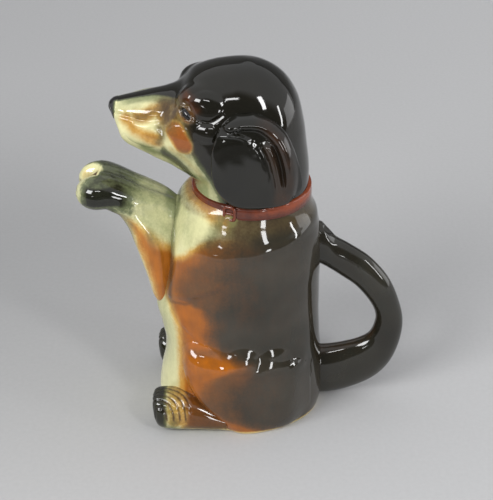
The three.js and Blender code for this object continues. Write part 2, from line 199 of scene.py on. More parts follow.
def sprayed_colours():
    """A node group for glaze sprayed in coats: cream, ochre where the chestnut starts, chestnut, green,
    brown, then black. Noise frays the edge of each coat, and a thin black coat breaks to brown."""
    group = bpy.data.node_groups.new("sprayed coats", "ShaderNodeTree")
    socket = group.interface.new_socket
    for name in ("Rust", "Green", "Brown", "Dark", "Thin", "Fray"):
        socket(name, in_out="INPUT", socket_type="NodeSocketFloat")
    for name in ("Cream", "Ochre", "Rust", "Green", "Brown", "Black", "Mist"):
        socket(name + " coat", in_out="INPUT", socket_type="NodeSocketColor")
    socket("Color", in_out="OUTPUT", socket_type="NodeSocketColor")
    nodes, links = group.nodes, group.links
    given, out = nodes.new("NodeGroupInput").outputs, nodes.new("NodeGroupOutput").inputs
    place = nodes.new("ShaderNodeTexCoord").outputs["Object"]
    hung = nodes.new("ShaderNodeMapping")
    hung.inputs["Scale"].default_value = (1, 1, 0.3)
    links.new(place, hung.inputs["Vector"])
    reckon = partial(maths, group)

    def mixed(share, under, over):
        node = nodes.new("ShaderNodeMix")
        node.data_type = "RGBA"
        for title, value in (("Factor", share), ("A", under), ("B", over)):
            links.new(value, node.inputs[title])
        return node.outputs["Result"]

    def grains(scale, detail, where=place):
        """Noise stretched to fill 0 to 1."""
        return reckon("MULTIPLY_ADD", noise(group, where, scale, detail), 2.2, -0.6, clamp=True)

    blotches, specks, clouds = grains(150, 5), grains(800, 3), grains(32, 2)
    runs = grains(260, 4, hung.outputs["Vector"])
    grain = reckon("MULTIPLY_ADD", specks, 0.25, reckon("MULTIPLY", blotches, 0.4))
    grain = reckon("MULTIPLY_ADD", runs, 0.35, grain)

    def frayed(title):
        """Coat + fray * (grain - 1/2) * 4 * coat * (1 - coat), so that only its soft edge is torn."""
        coat = given[title]
        edge = reckon("MULTIPLY", coat, reckon("SUBTRACT", 1.0, coat))
        torn = reckon("MULTIPLY", reckon("SUBTRACT", grain, 0.5), reckon("MULTIPLY", given["Fray"], 4.0))
        return reckon("MULTIPLY_ADD", edge, torn, coat, clamp=True)

    rust, green, brown, dark = (frayed(title) for title in ("Rust", "Green", "Brown", "Dark"))
    colour = mixed(reckon("MULTIPLY", rust, 2.3, clamp=True), given["Cream coat"], given["Ochre coat"])
    colour = mixed(reckon("POWER", rust, 1.5), colour, given["Rust coat"])
    fringe = reckon("MULTIPLY", reckon("MULTIPLY", dark, 2.4, clamp=True), reckon("SUBTRACT", 1.0, rust))
    colour = mixed(reckon("MAXIMUM", green, fringe), colour, given["Green coat"])
    deep = reckon("MULTIPLY", reckon("MULTIPLY", rust, rust), reckon("MULTIPLY", runs, 0.38))
    colour = mixed(reckon("MAXIMUM", brown, deep), colour, given["Brown coat"])
    night = mixed(reckon("MULTIPLY", clouds, 0.8), given["Black coat"], given["Mist coat"])
    colour = mixed(reckon("POWER", dark, 1.15), colour, night)
    wear_and_painted_shadow = reckon("MULTIPLY", given["Thin"], reckon("MULTIPLY_ADD", blotches, 0.6, 0.2))
    colour = mixed(reckon("MULTIPLY", wear_and_painted_shadow, dark), colour, given["Rust coat"])
    mottle = nodes.new("ShaderNodeHueSaturation")
    links.new(colour, mottle.inputs["Color"])
    links.new(reckon("MULTIPLY_ADD", blotches, 0.22, 0.89), mottle.inputs["Value"])
    links.new(mottle.outputs["Color"], out["Color"])
    return group


def fired_surface():
    """A node group for the glaze's skin: long waves from the brush and the kiln, a fine orange peel and a
    few pinholes. It gives a height in millimetres and a roughness."""
    group = bpy.data.node_groups.new("fired surface", "ShaderNodeTree")
    socket = partial(group.interface.new_socket, socket_type="NodeSocketFloat")
    for name, value in (("Waves", 0.05), ("Peel", 0.004), ("Pits", 0.1), ("Sheen", 0.07)):
        socket(name, in_out="INPUT").default_value = value
    socket("Height", in_out="OUTPUT")
    socket("Roughness", in_out="OUTPUT")
    nodes, links = group.nodes, group.links
    given, out = nodes.new("NodeGroupInput").outputs, nodes.new("NodeGroupOutput").inputs
    place = nodes.new("ShaderNodeTexCoord").outputs["Object"]
    reckon, grains = partial(maths, group), partial(noise, group, place)
    cells = nodes.new("ShaderNodeTexVoronoi")
    cells.inputs["Scale"].default_value = 150
    links.new(place, cells.inputs["Vector"])
    pin = ranged(group, cells.outputs["Distance"], 0.0, 0.07, 1.0, 0.0, "LINEAR")
    rare = reckon("GREATER_THAN", grains(37, 1), 0.62)
    hole = reckon("MULTIPLY", reckon("MULTIPLY", pin, rare), given["Pits"])
    height = reckon("MULTIPLY", grains(55, 2), given["Waves"])
    height = reckon("MULTIPLY_ADD", grains(700, 2), given["Peel"], height)
    links.new(reckon("SUBTRACT", height, hole), out["Height"])
    wear_and_painted_shadow = reckon("MULTIPLY_ADD", grains(120, 4), 0.06, -0.03)
    links.new(reckon("ADD", wear_and_painted_shadow, given["Sheen"]), out["Roughness"])
    return group


coats_group, surface_group = sprayed_colours(), fired_surface()
cream_coat, ochre_coat, bare_clay = (0.76, 0.735, 0.405), (0.74, 0.46, 0.11), (0.62, 0.52, 0.36)


def glaze(name, black=(0.006, 0.006, 0.004), mist=(0.014, 0.012, 0.008), rust=(0.40, 0.115, 0.008),
          green=(0.17, 0.20, 0.085), brown=(0.075, 0.034, 0.012), fray=0.9, waves=0.05, pits=0.1, sheen=0.06):
    """A glossy glaze over the masks rust, green, brown, dark, thin and bare of the piece that wears it. Bare
    clay shows matt where the glaze was wiped off."""
    material = bpy.data.materials.new(name)
    material.use_nodes = True
    tree = material.node_tree
    nodes, links = tree.nodes, tree.links
    shader = nodes["Principled BSDF"].inputs
    shader["IOR"].default_value = 1.57

    def mask(title):
        node = nodes.new("ShaderNodeAttribute")
        node.attribute_name = title
        return node.outputs["Fac"]

    coats = nodes.new("ShaderNodeGroup")
    coats.node_tree = coats_group
    for title, colour in (("Cream", cream_coat), ("Ochre", ochre_coat), ("Rust", rust), ("Green", green),
                          ("Brown", brown), ("Black", black), ("Mist", mist)):
        coats.inputs[title + " coat"].default_value = (*colour, 1)
    coats.inputs["Fray"].default_value = fray
    for title in coats_of_glaze:
        links.new(mask(title), coats.inputs[title.capitalize()])
    bare = mask("bare")
    clay = nodes.new("ShaderNodeMix")
    clay.data_type = "RGBA"
    clay.inputs["B"].default_value = (*bare_clay, 1)
    links.new(bare, clay.inputs["Factor"])
    links.new(coats.outputs["Color"], clay.inputs["A"])
    links.new(clay.outputs["Result"], shader["Base Color"])
    surface = nodes.new("ShaderNodeGroup")
    surface.node_tree = surface_group
    for title, value in (("Waves", waves), ("Pits", pits), ("Sheen", sheen)):
        surface.inputs[title].default_value = value
    matt = maths(tree, "MULTIPLY_ADD", bare, 0.7, surface.outputs["Roughness"])
    links.new(matt, shader["Roughness"])
    bump = nodes.new("ShaderNodeBump")
    bump.inputs["Distance"].default_value = millimetre
    links.new(surface.outputs["Height"], bump.inputs["Height"])
    links.new(bump.outputs["Normal"], shader["Normal"])
    return material


body_glaze = glaze("body glaze", black=(0.011, 0.012, 0.008), mist=(0.050, 0.044, 0.033),
                   brown=(0.088, 0.048, 0.022), fray=0.65, waves=0.09)

wall = 4.5
neck_axis, neck_radius, neck_bore, neck_top = 4.7, 28.6, 25.0, 136.7
body_height, chest_reach, back_reach, body_side = 134.0, 46.5, 44.0, 37.0
around, body_rows, body_squareness = 300, 216, 2.2
# Height, chest, back and side at each ring from the foot to the neck, as shares of the sizes above
body_shares = np.array([
    (0.0, 0.946, 0.967, 0.959), (0.06, 1.0, 1.0, 1.0), (0.15, 0.975, 1.0, 1.0), (0.24, 0.925, 0.985, 0.985),
    (0.33, 0.918, 0.96, 0.962), (0.42, 0.962, 0.944, 0.951), (0.5, 1.01, 0.938, 0.951),
    (0.585, 0.96, 0.938, 0.96), (0.69, 0.88, 0.94, 0.973), (0.775, 0.85, 0.936, 0.982),
    (0.845, 0.817, 0.913, 0.957), (0.905, 0.774, 0.86, 0.899), (0.95, 0.73, 0.807, 0.845),
    (0.98, 0.667, 0.776, 0.815), (1.0, 0.581, 0.751, 0.79),
])
haunch_reach, haunch_height, haunch_side, haunch_thickness = 45.0, 55.0, 30.6, 10.5
# Place along the haunch, lower edge, upper edge, side and fullness, as shares of the sizes above
haunch_shares = np.array([
    (-0.71, 0.7, 0.93, 0.88, 0.5), (-0.63, 0.5, 1.01, 0.93, 0.85), (-0.47, 0.29, 1.01, 0.98, 1.0),
    (-0.22, 0.06, 0.965, 1.0, 1.0), (0.04, -0.1, 0.93, 0.985, 1.0), (0.33, -0.06, 0.88, 0.92, 1.0),
    (0.6, 0.01, 0.82, 0.8, 0.95), (0.82, 0.1, 0.73, 0.5, 0.7),
])


def body_sections(shares, inset):
    """Sections across the body, each level, from back to chest, drawn in by inset."""
    height = shares[:, 0] * body_height
    back, chest = shares[:, 2] * back_reach - inset, inset - shares[:, 1] * chest_reach
    side = shares[:, 3] * body_side - inset
    return np.stack([back, height, chest, height, side, np.zeros(len(shares))], -1)


def haunch(points):
    """How far out the haunch reaches at each (x, z): its side + its thickness * (1 - |z'|^p)^(1/p), z' the
    height within it and p less near the top, which is rounder. Beyond its ends it is 0, deep in the body."""
    along, under, top, out, full = through(haunch_shares, 120).T
    x = points[..., 0] / haunch_reach
    bottom, high = np.interp(x, along, under) * haunch_height, np.interp(x, along, top) * haunch_height
    within = (points[..., 2] - (bottom + high) / 2) / ((high - bottom) / 2)
    power = 2.8 - 0.7 * soft(within, 0.0, 0.3)
    depth = np.maximum(1 - np.abs(within) ** power, 0) ** (1 / power)
    reach = np.interp(x, along, out) * haunch_side + np.interp(x, along, full) * haunch_thickness * depth
    inside = (np.abs(within) < 1) & (x > along[0]) & (x < along[-1])
    return np.where(inside, reach, 0.0)


def blended(a, b, width):
    """The greater of a and b, rounded over width where they meet."""
    share = np.clip(0.5 + (b - a) / (2 * width), 0, 1)
    return a + (b - a) * share + width * share * (1 - share)


outer = ovals(body_sections(through(body_shares, body_rows), 0), around, body_squareness)
normal = outward(outer)
x, y, z = outer[..., 0], np.abs(outer[..., 1]), outer[..., 2]
# The upper arm swells over the belly, down to the crease at the elbow, and fades into the shoulder
crease = np.interp(x, (-37, -30, -22, -14, -4), (76.0, 79.0, 83.0, 88.0, 98.0))
arm = soft(z, crease, crease + 5) * soft(x, 2, -22) * soft(z, 126, 104) * soft(y, 12, 24)
outer = outer + normal * (1.9 * arm)[..., None]
# A shallow fold crosses the belly in front of the haunch
fold = band_along(mirrored(outer), [(-38, 22, 74), (-33, 27, 64), (-27, 31, 58)], 1.3)
outer = outer - normal * (0.5 * fold)[..., None]
side = np.abs(outer[..., 1])
stretch = (blended(side, haunch(outer), 2.2) - side) * soft(side, 6, 14)
outer[..., 1] += np.sign(outer[..., 1]) * stretch
haunch_top = mirrored(outer)
for spot, reach, height in (((0, 34, 47.5), 10.0, 2.2), ((-20, 34, 46), 11, 1.0), ((17, 33, 46), 10, 1.9)):
    d = np.linalg.norm((haunch_top - spot) * (1, 0.6, 1.3), axis=-1) / reach
    outer = raised(outer, height * np.maximum(1 - d * d, 0) ** 1.2)
# The shelf over the haunch, which ends in a soft edge
shelf = [(-12, 36, 43.5), (-2, 36, 42), (10, 36, 40.5), (21, 33, 40), (32, 27, 41)]
outer = raised(outer, 1.1 * band_along(mirrored(outer), shelf, 4.0))
x, z = outer[..., 0], outer[..., 2]
ledge = soft(stretch, 0.2, 2.5) * soft(z, 30, 42) * soft(x, 8, -4)
# The shoulder's edge, and the slow unevenness of a cast that was sponged by hand: small crossed waves
shoulder_edge = np.interp(x, (-22, -9, 4, 20, 34), (112.5, 111.0, 112.0, 115.5, 120.0))
swell = 0.7 * hump(z - shoulder_edge, 3.0) * soft(x, -26, -14)
swell += 0.10 * np.sin(z / 4.3 + 1.7 * np.sin(x / 9)) * np.sin(x / 5.1 + z / 13)
outer = raised(outer, swell * (soft(z, 6, 14) * soft(z, 129, 124)))


def level_rows(rows, count):
    """Round rows of count points about the neck's axis, from (radius, height) pairs."""
    turn = turns(count)
    rows = np.asarray(rows, float)
    x = neck_axis + rows[:, :1] * np.cos(turn)
    y = rows[:, :1] * np.sin(turn)
    return np.stack([x, y, np.repeat(rows[:, 1:], count, 1)], -1)


def drawn_in(row, steps):
    """Copies of a row, each drawn in towards its middle by a distance and set at a height."""
    middle = row.mean(0) * (1, 1, 0)
    flat = row * (1, 1, 0) - middle
    length = np.linalg.norm(flat, axis=-1, keepdims=True)
    return np.stack([middle + flat * (1 - inward / length) + (0, 0, height) for inward, height in steps])


sole = drawn_in(outer[0], [(34, 2.5), (24, 2.5), (14, 2.5), (8.2, 2.5), (7.2, 2.3), (6.6, 1.4), (6.3, 0.3),
                           (5.8, 0.0), (3.5, 0.0), (1.4, 0.0), (0.5, 0.15)])
# The lowest 3 mm of the skin start a little over the table, so that the rim's edge is rounded
outer[..., 2] = np.where(outer[..., 2] < 3, 0.45 + outer[..., 2] * 0.85, outer[..., 2])
lip = level_rows([
    (neck_radius, neck_top - 2.3), (neck_radius, neck_top - 0.8), (neck_radius - 0.25, neck_top - 0.25),
    (neck_radius - 0.7, neck_top), (neck_bore + 1.6, neck_top), (neck_bore + 0.6, neck_top - 0.1),
    (neck_bore + 0.15, neck_top - 0.5), (neck_bore, neck_top - 1.3), (neck_bore, neck_top - 8.7),
    (neck_bore, neck_top - 16.7), (neck_bore, neck_top - 22.2),
], around)
inside = body_shares[(body_shares[:, 0] > 0.09) & (body_shares[:, 0] < 0.88)][::-1]
hollow = ovals(body_sections(through(inside, 60), wall), around, body_squareness)
floor = drawn_in(hollow[-1], [(0.8, 14), (2.4, 10.6), (5, 8.7), (9, 8.0), (16, 8.0), (24, 8.0), (33, 8.0)])
body = np.concatenate([sole, outer, lip, hollow, floor])

x, y, z = body[..., 0], np.abs(body[..., 1]), body[..., 2]
row = np.arange(len(body))[:, None] * np.ones(around)
skin_start, skin_end = len(sole), len(sole) + len(outer)
# Where cream gives way to chestnut, chestnut to brown and brown to black, as places along X at heights Z
chestnut = np.interp(z, (0, 50, 57, 67, 75, 82, 92, 100, 104, 111, 117, 120, 125, 137),
                     (-35, -34, -34, -36, -39.5, -43.5, -45, -39, -34, -27, -20, -14, -9, -8))
browned = np.interp(
    z, (0, 6, 12, 20, 30, 40, 45, 50, 56, 66, 77, 81, 86, 92, 98, 104, 109, 116, 122, 137),
    (10, -2, -14, -24, -25, -16, -4, -14, -19, -19, -21, -34, -38, -37, -32, -27, -25, -21, -14, -8))
black = np.interp(
    z, (0, 6, 12, 20, 28, 35, 42, 46, 50, 56, 66, 76, 80, 90, 97, 103, 108, 113, 118, 122, 127, 137),
    (18, 6, -3, -7, -8, -6, -2, 1, -8, -15, -15, -15, -13, -12, -11, -10, -8, -6, -3, 0, 2, 3))
blur = np.interp(z, (50, 56, 76, 82), (11, 9, 9, 12))
wavy = 2.0 * np.sin(z / 4.7 + 1.0) * np.sin(z / 11.0) + 0.9 * np.sin(z / 2.1)
browned, black = browned + wavy, black + 0.8 * wavy
rust = soft(x, chestnut - 3, chestnut + 5) * soft(z, 124, 114)
brown = 0.88 * soft(x, browned - 6, browned + 8)
dark = 0.96 * soft(x, black - blur, black + blur)
# On the shoulder chestnut turns to brown and olive, and chestnut was sprayed along the collar's lower edge
shoulder = soft(z, 114, 122) * soft(x, -16, -4)
green = np.maximum(0.9 * shoulder * soft(z, 116, 123), 0.42 * soft(z, 100, 124) * soft(x, -16, -30))
green = np.maximum(green, 0.75 * soft(z, 112, 119) * hump(x + 15 - 0.5 * (z - 120), 4.0))
brown = np.maximum(brown, 0.7 * shoulder * soft(x, 10, -4) * soft(z, 124, 118))
dark = np.maximum(dark, 0.75 * soft(z, 110, 118) * soft(x, -14, 4))
dark *= 1 - 0.45 * soft(z, 119, 126)
# The black lies thinner over the middle of the flank, where the brown below it shows
dark *= 1 - 0.12 * hump(x, 9) * soft(z, 58, 80) - 0.08 * soft(x, 26, 12) * soft(z, 44, 36)
collar_line = soft(np.hypot(x - neck_axis, y), 36.5, 31.0) * soft(z, 118, 124) * soft(x, -2, -9)
collar_line = np.maximum(collar_line, soft(np.hypot(x + 6.6, z - 130), 5.0, 3.0))
rust = np.maximum(rust, 0.9 * collar_line)
brown = np.maximum(brown * (1 - 0.7 * collar_line), 0.35 * soft(z, 127.5, 130) * soft(x, 0, -8))
dark *= 1 - 0.9 * collar_line
# Brown is painted along the elbow's crease and along the ledge of the haunch, and green, brown and a little
# black in the groove behind the forelegs, there as painted shade
elbow_crease = [(-38, 21, 76), (-30, 28, 78.5), (-22, 32, 82.5), (-15, 34, 87)]
brown = np.maximum(brown, 0.8 * band_along(mirrored(body), elbow_crease, 1.2))
brown = np.maximum(brown, 0.6 * hump(z - 52.5, 2.2) * soft(x, -34, -28) * soft(x, 0, -12))
green = np.maximum(green, 0.42 * soft(x, -32, -42) * soft(z, 14, 50))
groove_line = np.interp(z, (76, 85, 95, 112, 120, 128), (-38.6, -37.8, -37.1, -36.1, -35.1, -32.8))
# Painted shade: green, brown and a little black along the groove behind the forelegs
groove = hump(x - groove_line, 1.5)
green = np.maximum(green, 0.9 * groove * soft(z, 98, 106))
brown = np.maximum(brown, 0.9 * groove * soft(z, 108, 99) * soft(z, 74, 79))
dark = np.maximum(dark, 0.34 * groove * soft(z, 80, 90))
rim_of_cream = 0.8 * soft(z, 3.2, 1.4)
rust, brown, dark = (mask * (1 - rim_of_cream) for mask in (rust, brown, dark))
shown = (row >= skin_start) & (row < skin_end + 4)
bare = np.where(shown, soft(z, 1.1, 0.5), z < 0.6) * (row < skin_start + 8)
bare = np.maximum(bare, (row < 6) * 0.35)
# The glaze is wiped thin, and so less bright, where the chestnut line meets the collar
bare = np.maximum(bare, 0.10 * collar_line * soft(x, -9, -13) * soft(z, 127, 130))
neck_inside = row >= skin_end + 3
rust, green, brown, dark = (np.where(neck_inside, 0, mask) for mask in (rust, green, brown, dark))
thin = np.zeros_like(z)
thin[skin_start:skin_end] = ledge * 0.8
jug_body = skin("body_of_the_jug", body, {
    "rust": rust, "green": green, "brown": brown, "dark": dark, "thin": thin, "bare": bare})
jug_body.data.materials.append(body_glaze)
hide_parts("jug_body")
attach(jug_body, "jug")

# The forelegs and paws, which are the spout
# Two forearms cast together and luted to the chest. A passage runs up inside them from the belly and
# opens between the paws. Black was sprayed on the paws, chestnut down the outside of each forearm.
leg_reach, paw_top, leg_side = 85.0, 144.0, 19.5
leg_rows, leg_around = 190, 220
# Rear outline, front outline and half width from the elbow to the paws, as shares of the sizes above
leg_shares = np.array([
    (-0.388, 0.458, -0.494, 0.444, 0.38), (-0.318, 0.5, -0.565, 0.486, 0.76),
    (-0.282, 0.597, -0.606, 0.583, 0.95), (-0.282, 0.722, -0.665, 0.701, 1.0),
    (-0.318, 0.819, -0.712, 0.785, 1.0), (-0.424, 0.889, -0.771, 0.844, 1.0),
    (-0.565, 0.927, -0.829, 0.863, 0.99), (-0.694, 0.965, -0.888, 0.872, 0.97),
    (-0.788, 0.99, -0.935, 0.882, 0.95), (-0.841, 0.997, -0.976, 0.904, 0.87),
])
# The passage from the paws down to the belly, given the same way
passage_shares = np.array([
    (-0.855, 0.965, -0.93, 0.91, 0.17), (-0.82, 0.95, -0.88, 0.9, 0.2), (-0.659, 0.92, -0.729, 0.837, 0.4),
    (-0.553, 0.885, -0.612, 0.743, 0.51), (-0.46, 0.86, -0.49, 0.67, 0.6),
])
paw_middle, paw_half = np.array((-74.6, 7.6, 133.8)), np.array((11.0, 10.2, 9.0))
hole_middle, hole_long, hole_wide = np.array((-78.6, 0.0, 136.6)), 5.6, 3.5
# How far from the paws' edge to the hole each row of the face lies, and how far it stands proud
face_shares = ((0.04, 0.5), (0.1, 0.8), (0.2, 0.9), (0.34, 0.8), (0.5, 0.6), (0.66, 0.45), (0.8, 0.3),
               (0.92, 0.15), (1.0, 0.0))


def leg_sections(shares):
    """Sections across the forelegs, about the middle of the dog."""
    scaled = shares * (leg_reach, paw_top, leg_reach, paw_top, leg_side)
    return np.concatenate([scaled, np.zeros((len(shares), 1))], 1)


def swollen(points, centre, half, width=0.12):
    """Points inside or near an egg are pushed out from its middle until they lie on it."""
    offset = (points - centre) / half
    radius = np.maximum(np.linalg.norm(offset, axis=-1, keepdims=True), 0.2)
    return centre + offset * half * blended(radius, 1.0, width) / radius


legs = ovals(through(leg_sections(leg_shares), leg_rows), leg_around, 2.5)
turn = turns(leg_around)
lengthwise = np.cos(turn) * np.ones((leg_rows, 1))
normal = outward(legs)
along = np.linspace(0, 1, leg_rows)[:, None]
legs[..., 1] *= 1 - 0.42 * soft(lengthwise, -0.4, 0.5) * soft(along, 0.7, 0.5) * soft(along, 0.03, 0.25)
legs[..., 1] *= 1 - 0.07 * hump(along - 0.72, 0.07) - 0.09 * soft(legs[..., 2], 103, 127)
# A valley between the two forearms, on top and underneath
valley = hump(legs[..., 1], 3.2) * soft(along, 0.3, 0.75) * soft(np.abs(lengthwise), 0.2, 0.7)
legs = legs - normal * (1.5 * valley)[..., None]
up_the_face, forward = np.array((0.65, 0, 0.76)), np.array((-0.76, 0, 0.65))
rim = hole_middle + hole_long * np.cos(turn)[:, None] * up_the_face
rim = rim + hole_wide * np.sin(turn)[:, None] * (0, 1, 0)
face = np.stack([legs[-1] + (rim - legs[-1]) * share + forward * proud for share, proud in face_shares])
tube = ovals(through(leg_sections(passage_shares), 60), leg_around, 2.0)
spout = np.concatenate([legs, face, tube])
rows = np.arange(len(spout))[:, None]
outside = rows < leg_rows + len(face) - 1
paws = spout.copy()
for hand in (-1, 1):
    paws = swollen(paws, paw_middle * (1, hand, 1), paw_half)
clear_of_hole = soft(np.linalg.norm((spout[..., 1:] - (0, 137.6)) * (1.2, 0.7), axis=-1), 4.6, 8.0) * outside
spout = spout + (paws - spout) * clear_of_hole[..., None]
# A soft ridge runs down each forearm, with three small folds behind it in the pit of the elbow
for path, width, height in (
        ([(-58, 17.6, 133), (-49.5, 18.1, 128.4), (-46.8, 19, 119), (-43.4, 19.2, 108.5), (-41.6, 19, 100)],
         1.6, 1.4),
        ([(-43, 19, 121), (-41.6, 19, 113), (-40.0, 19, 104)], 1.1, 1.1),
        ([(-45.2, 19, 119), (-42.6, 19, 109), (-41, 19, 97)], 0.8, -0.9),
        ([(-41.0, 18, 120), (-39.0, 18, 111), (-38.6, 18, 101)], 0.8, -0.7)):
    spout = raised(spout, height * outside * band_along(mirrored(spout), through(path, 20), width))
folded = mirrored(spout)
# Toes: short grooves down the front of each paw
toes = hump(folded[..., 1] - 5.4, 0.7) + hump(folded[..., 1] - 10.4, 0.7)
toes *= soft(folded[..., 0], -77, -81) * soft(folded[..., 2], 138, 134) * outside
spout = raised(spout, -0.7 * toes)

x, y, z = spout[..., 0], folded[..., 1], spout[..., 2]
across = np.ones((len(spout), 1)) * np.cos(turn)
# How far forward round the forearm its chestnut reaches, from the elbow at 76 mm to the wrist
top_of_band = np.interp(z, (76, 92, 97, 101, 105, 110, 115, 120, 125, 129),
                        (1.4, 1.3, 0.7, 0.3, 0.05, -0.15, -0.3, -0.42, -0.52, -0.65))
rust = soft(across, -1.0, -0.35) * soft(across, top_of_band + 0.35, top_of_band - 0.25) * soft(z, 131, 118)
# The brown on the rear of the forearm low down is partly brown streaks and partly painted shade of the groove
# behind the forelegs
brown = 0.9 * soft(across, 0.0, 0.5) * soft(z, 110, 100) + 0.35 * soft(z, 92, 80) * soft(across, -0.5, 0.3)
topside = soft(across, -0.35, 0.55) * soft(z, 113, 127) * (1 - 0.66 * soft(x, -62, -47))
underside = soft(x, -53, -60) * soft(across, 0.0, -0.5)
green = np.maximum(0.66 * topside, 0.75 * underside) + 0.4 * soft(across, 0.2, 0.7) * soft(z, 98, 106)
# Painted shade: green on the forearm just in front of the groove behind it
green += 0.3 * soft(x, -41.5, -38) * soft(z, 103, 112)
green = np.maximum(green, 0.45 * soft(z, 102, 112) * soft(across, -0.5, -0.1))
from_face = np.linalg.norm((spout - (-78, 0, 139)) * (1, 0.7, 0.8), axis=-1)
cream_face = soft(from_face, 8.5, 5.5) * soft(x, -70, -73)
smoky = 0.72 * soft(x, -48, -64) * soft(across, -0.6, 0.1) * soft(x, -83.5, -77)
paw_black = 0.98 * soft(x, -51, -63) * soft(y, 7, 11.5) * soft(z, 126.5, 131) * soft(z, 142.5, 139)
paw_black *= soft(x, -84, -78.5)
below = 0.72 * soft(x, -60, -67) * soft(z, 131, 128) * soft(x, -84, -78)
dark = np.maximum.reduce([paw_black, smoky, below]) * (1 - cream_face)
green = np.maximum(green * (1 - 0.5 * soft(x, -78, -84)), 0.3 * soft(x, -76, -81)) * (1 - cream_face)
# Brown is painted round the pour hole as painted shade of the opening
from_hole = spout - hole_middle
to_rim = np.hypot(from_hole @ up_the_face / hole_long, from_hole[..., 1] / hole_wide)
to_rim += 9 * (from_hole @ forward < -4)
brown = np.maximum(brown, 0.95 * soft(to_rim, 1.35, 1.0) * soft(x, -66, -70))
rust = np.maximum(rust, 0.12 * soft(to_rim, 1.6, 1.2) * soft(x, -66, -70))
# Painted shade inside the passage: brown over black
in_tube = rows >= leg_rows + len(face)
rust, brown = np.where(in_tube, 0.9, rust), np.where(in_tube, 0.9, np.maximum(brown, 0.5 * toes))
green, dark = np.where(in_tube, 0, green), np.where(in_tube, 0.75, dark)
foreleg_spout = skin("forelegs_and_spout", spout, {
    "rust": rust, "green": green, "brown": brown, "dark": dark})
foreleg_spout.data.materials.append(glaze("spout glaze", rust=(0.46, 0.145, 0.012), green=(0.21, 0.24, 0.12)))
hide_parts("foreleg_spout")
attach(foreleg_spout, "jug")

# The tail, which is the handle
# A solid roll of clay, pulled to an oval, bent to a loop and luted on at the shoulder and the rump. A
# small knob for the thumb stands at its upper root.
handle_reach, handle_rise, handle_side = 88.0, 113.0, 6.8
tail_rows, tail_around = 280, 96
knob_middle, knob_half = np.array((46.6, 0.0, 109.2)), np.array((5.4, 5.6, 4.6))
# Outer outline, inner outline and half width from the shoulder round to the rump
handle_shares = np.array([
    (0.425, 1.0, 0.425, 0.79, 1.2), (0.49, 0.98, 0.485, 0.765, 1.1), (0.56, 0.912, 0.54, 0.737, 1.0),
    (0.65, 0.867, 0.605, 0.7, 0.97), (0.78, 0.793, 0.693, 0.646, 0.95), (0.897, 0.68, 0.776, 0.566, 0.95),
    (0.969, 0.549, 0.822, 0.494, 0.95), (1.0, 0.434, 0.825, 0.429, 0.95), (0.984, 0.31, 0.79, 0.361, 0.97),
    (0.93, 0.193, 0.716, 0.326, 1.0), (0.835, 0.106, 0.625, 0.306, 1.05), (0.693, 0.046, 0.557, 0.296, 1.15),
    (0.557, 0.018, 0.5, 0.292, 1.25), (0.432, 0.014, 0.42, 0.292, 1.3),
])
sections = handle_shares * (handle_reach, handle_rise, handle_reach, handle_rise, handle_side)
sections = np.concatenate([sections, np.zeros((len(sections), 1))], 1)
tail = swollen(ovals(through(sections, tail_rows), tail_around, 2.0), knob_middle, knob_half, 0.25)
inner_edge = soft(-np.cos(turns(tail_around)), 0.75, 1.0) * np.ones((tail_rows, 1))
tail_handle = skin("tail_handle_roll", tail, {"brown": 1, "dark": 0.97 - 0.2 * inner_edge})
tail_handle.data.materials.append(glaze("handle glaze", black=(0.010, 0.010, 0.007),
                                        mist=(0.030, 0.029, 0.021), waves=0.09))
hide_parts("tail_handle")
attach(tail_handle, "jug")

# The collar and its buckle
# A raised band moulded round the neck and brushed with red brown glaze, painted paler on its upper part
# towards the back and a little in front, partly the glaze's own tone and partly a painted highlight. The
# buckle is a small pressed frame with a prong, stuck on with slip.
collar_profile = np.array([
    (28.9, 129.7), (30.1, 129.7), (30.75, 129.9), (31.05, 130.4), (31.0, 131.0), (31.1, 131.7),
    (31.18, 133.2), (31.1, 134.8), (31.0, 135.4), (31.05, 136.0), (30.75, 136.5), (30.1, 136.7),
    (28.9, 136.7), (28.75, 133.2),
])
collar_radius, collar_middle, buckle_way = 31.2, 133.2, math.radians(180 + 69)
frame_half_width, frame_half_height, bar_half = 2.8, 3.55, 0.85
prong_length, prong_half = 4.6, 0.6
closed_profile = np.concatenate([collar_profile, collar_profile[:1]])
band = level_rows(through(closed_profile, 85)[:-1], around)
band[..., :2] += (band[..., :2] - (neck_axis, 0)) * 0.004 * np.sin(band[..., 2:] / 2)
x, z = band[..., 0], band[..., 2]
# Painted paler towards the back and in front: partly the glaze's own tone, partly a painted highlight
tone_and_painted_highlight = 0.75 * soft(x, -6, 26) * soft(z, 130.5, 135) + 0.3 * soft(x, -10, -24)
collar_band = skin("collar_round_the_neck", band, {"rust": 1, "brown": 0.92 - tone_and_painted_highlight}, ring=True)
red_glaze = glaze("collar glaze", rust=(0.32, 0.060, 0.014), brown=(0.070, 0.018, 0.011), waves=0.08)
collar_band.data.materials.append(red_glaze)
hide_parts("collar_band")
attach(collar_band, "jug")


def wrapped(across, up, proud):
    """Points on the collar: so far round it from the buckle's middle, so far up, and standing so proud."""
    angle = buckle_way + across / collar_radius
    radius = collar_radius + proud
    return np.stack([neck_axis + radius * np.cos(angle), radius * np.sin(angle), collar_middle + up], -1)


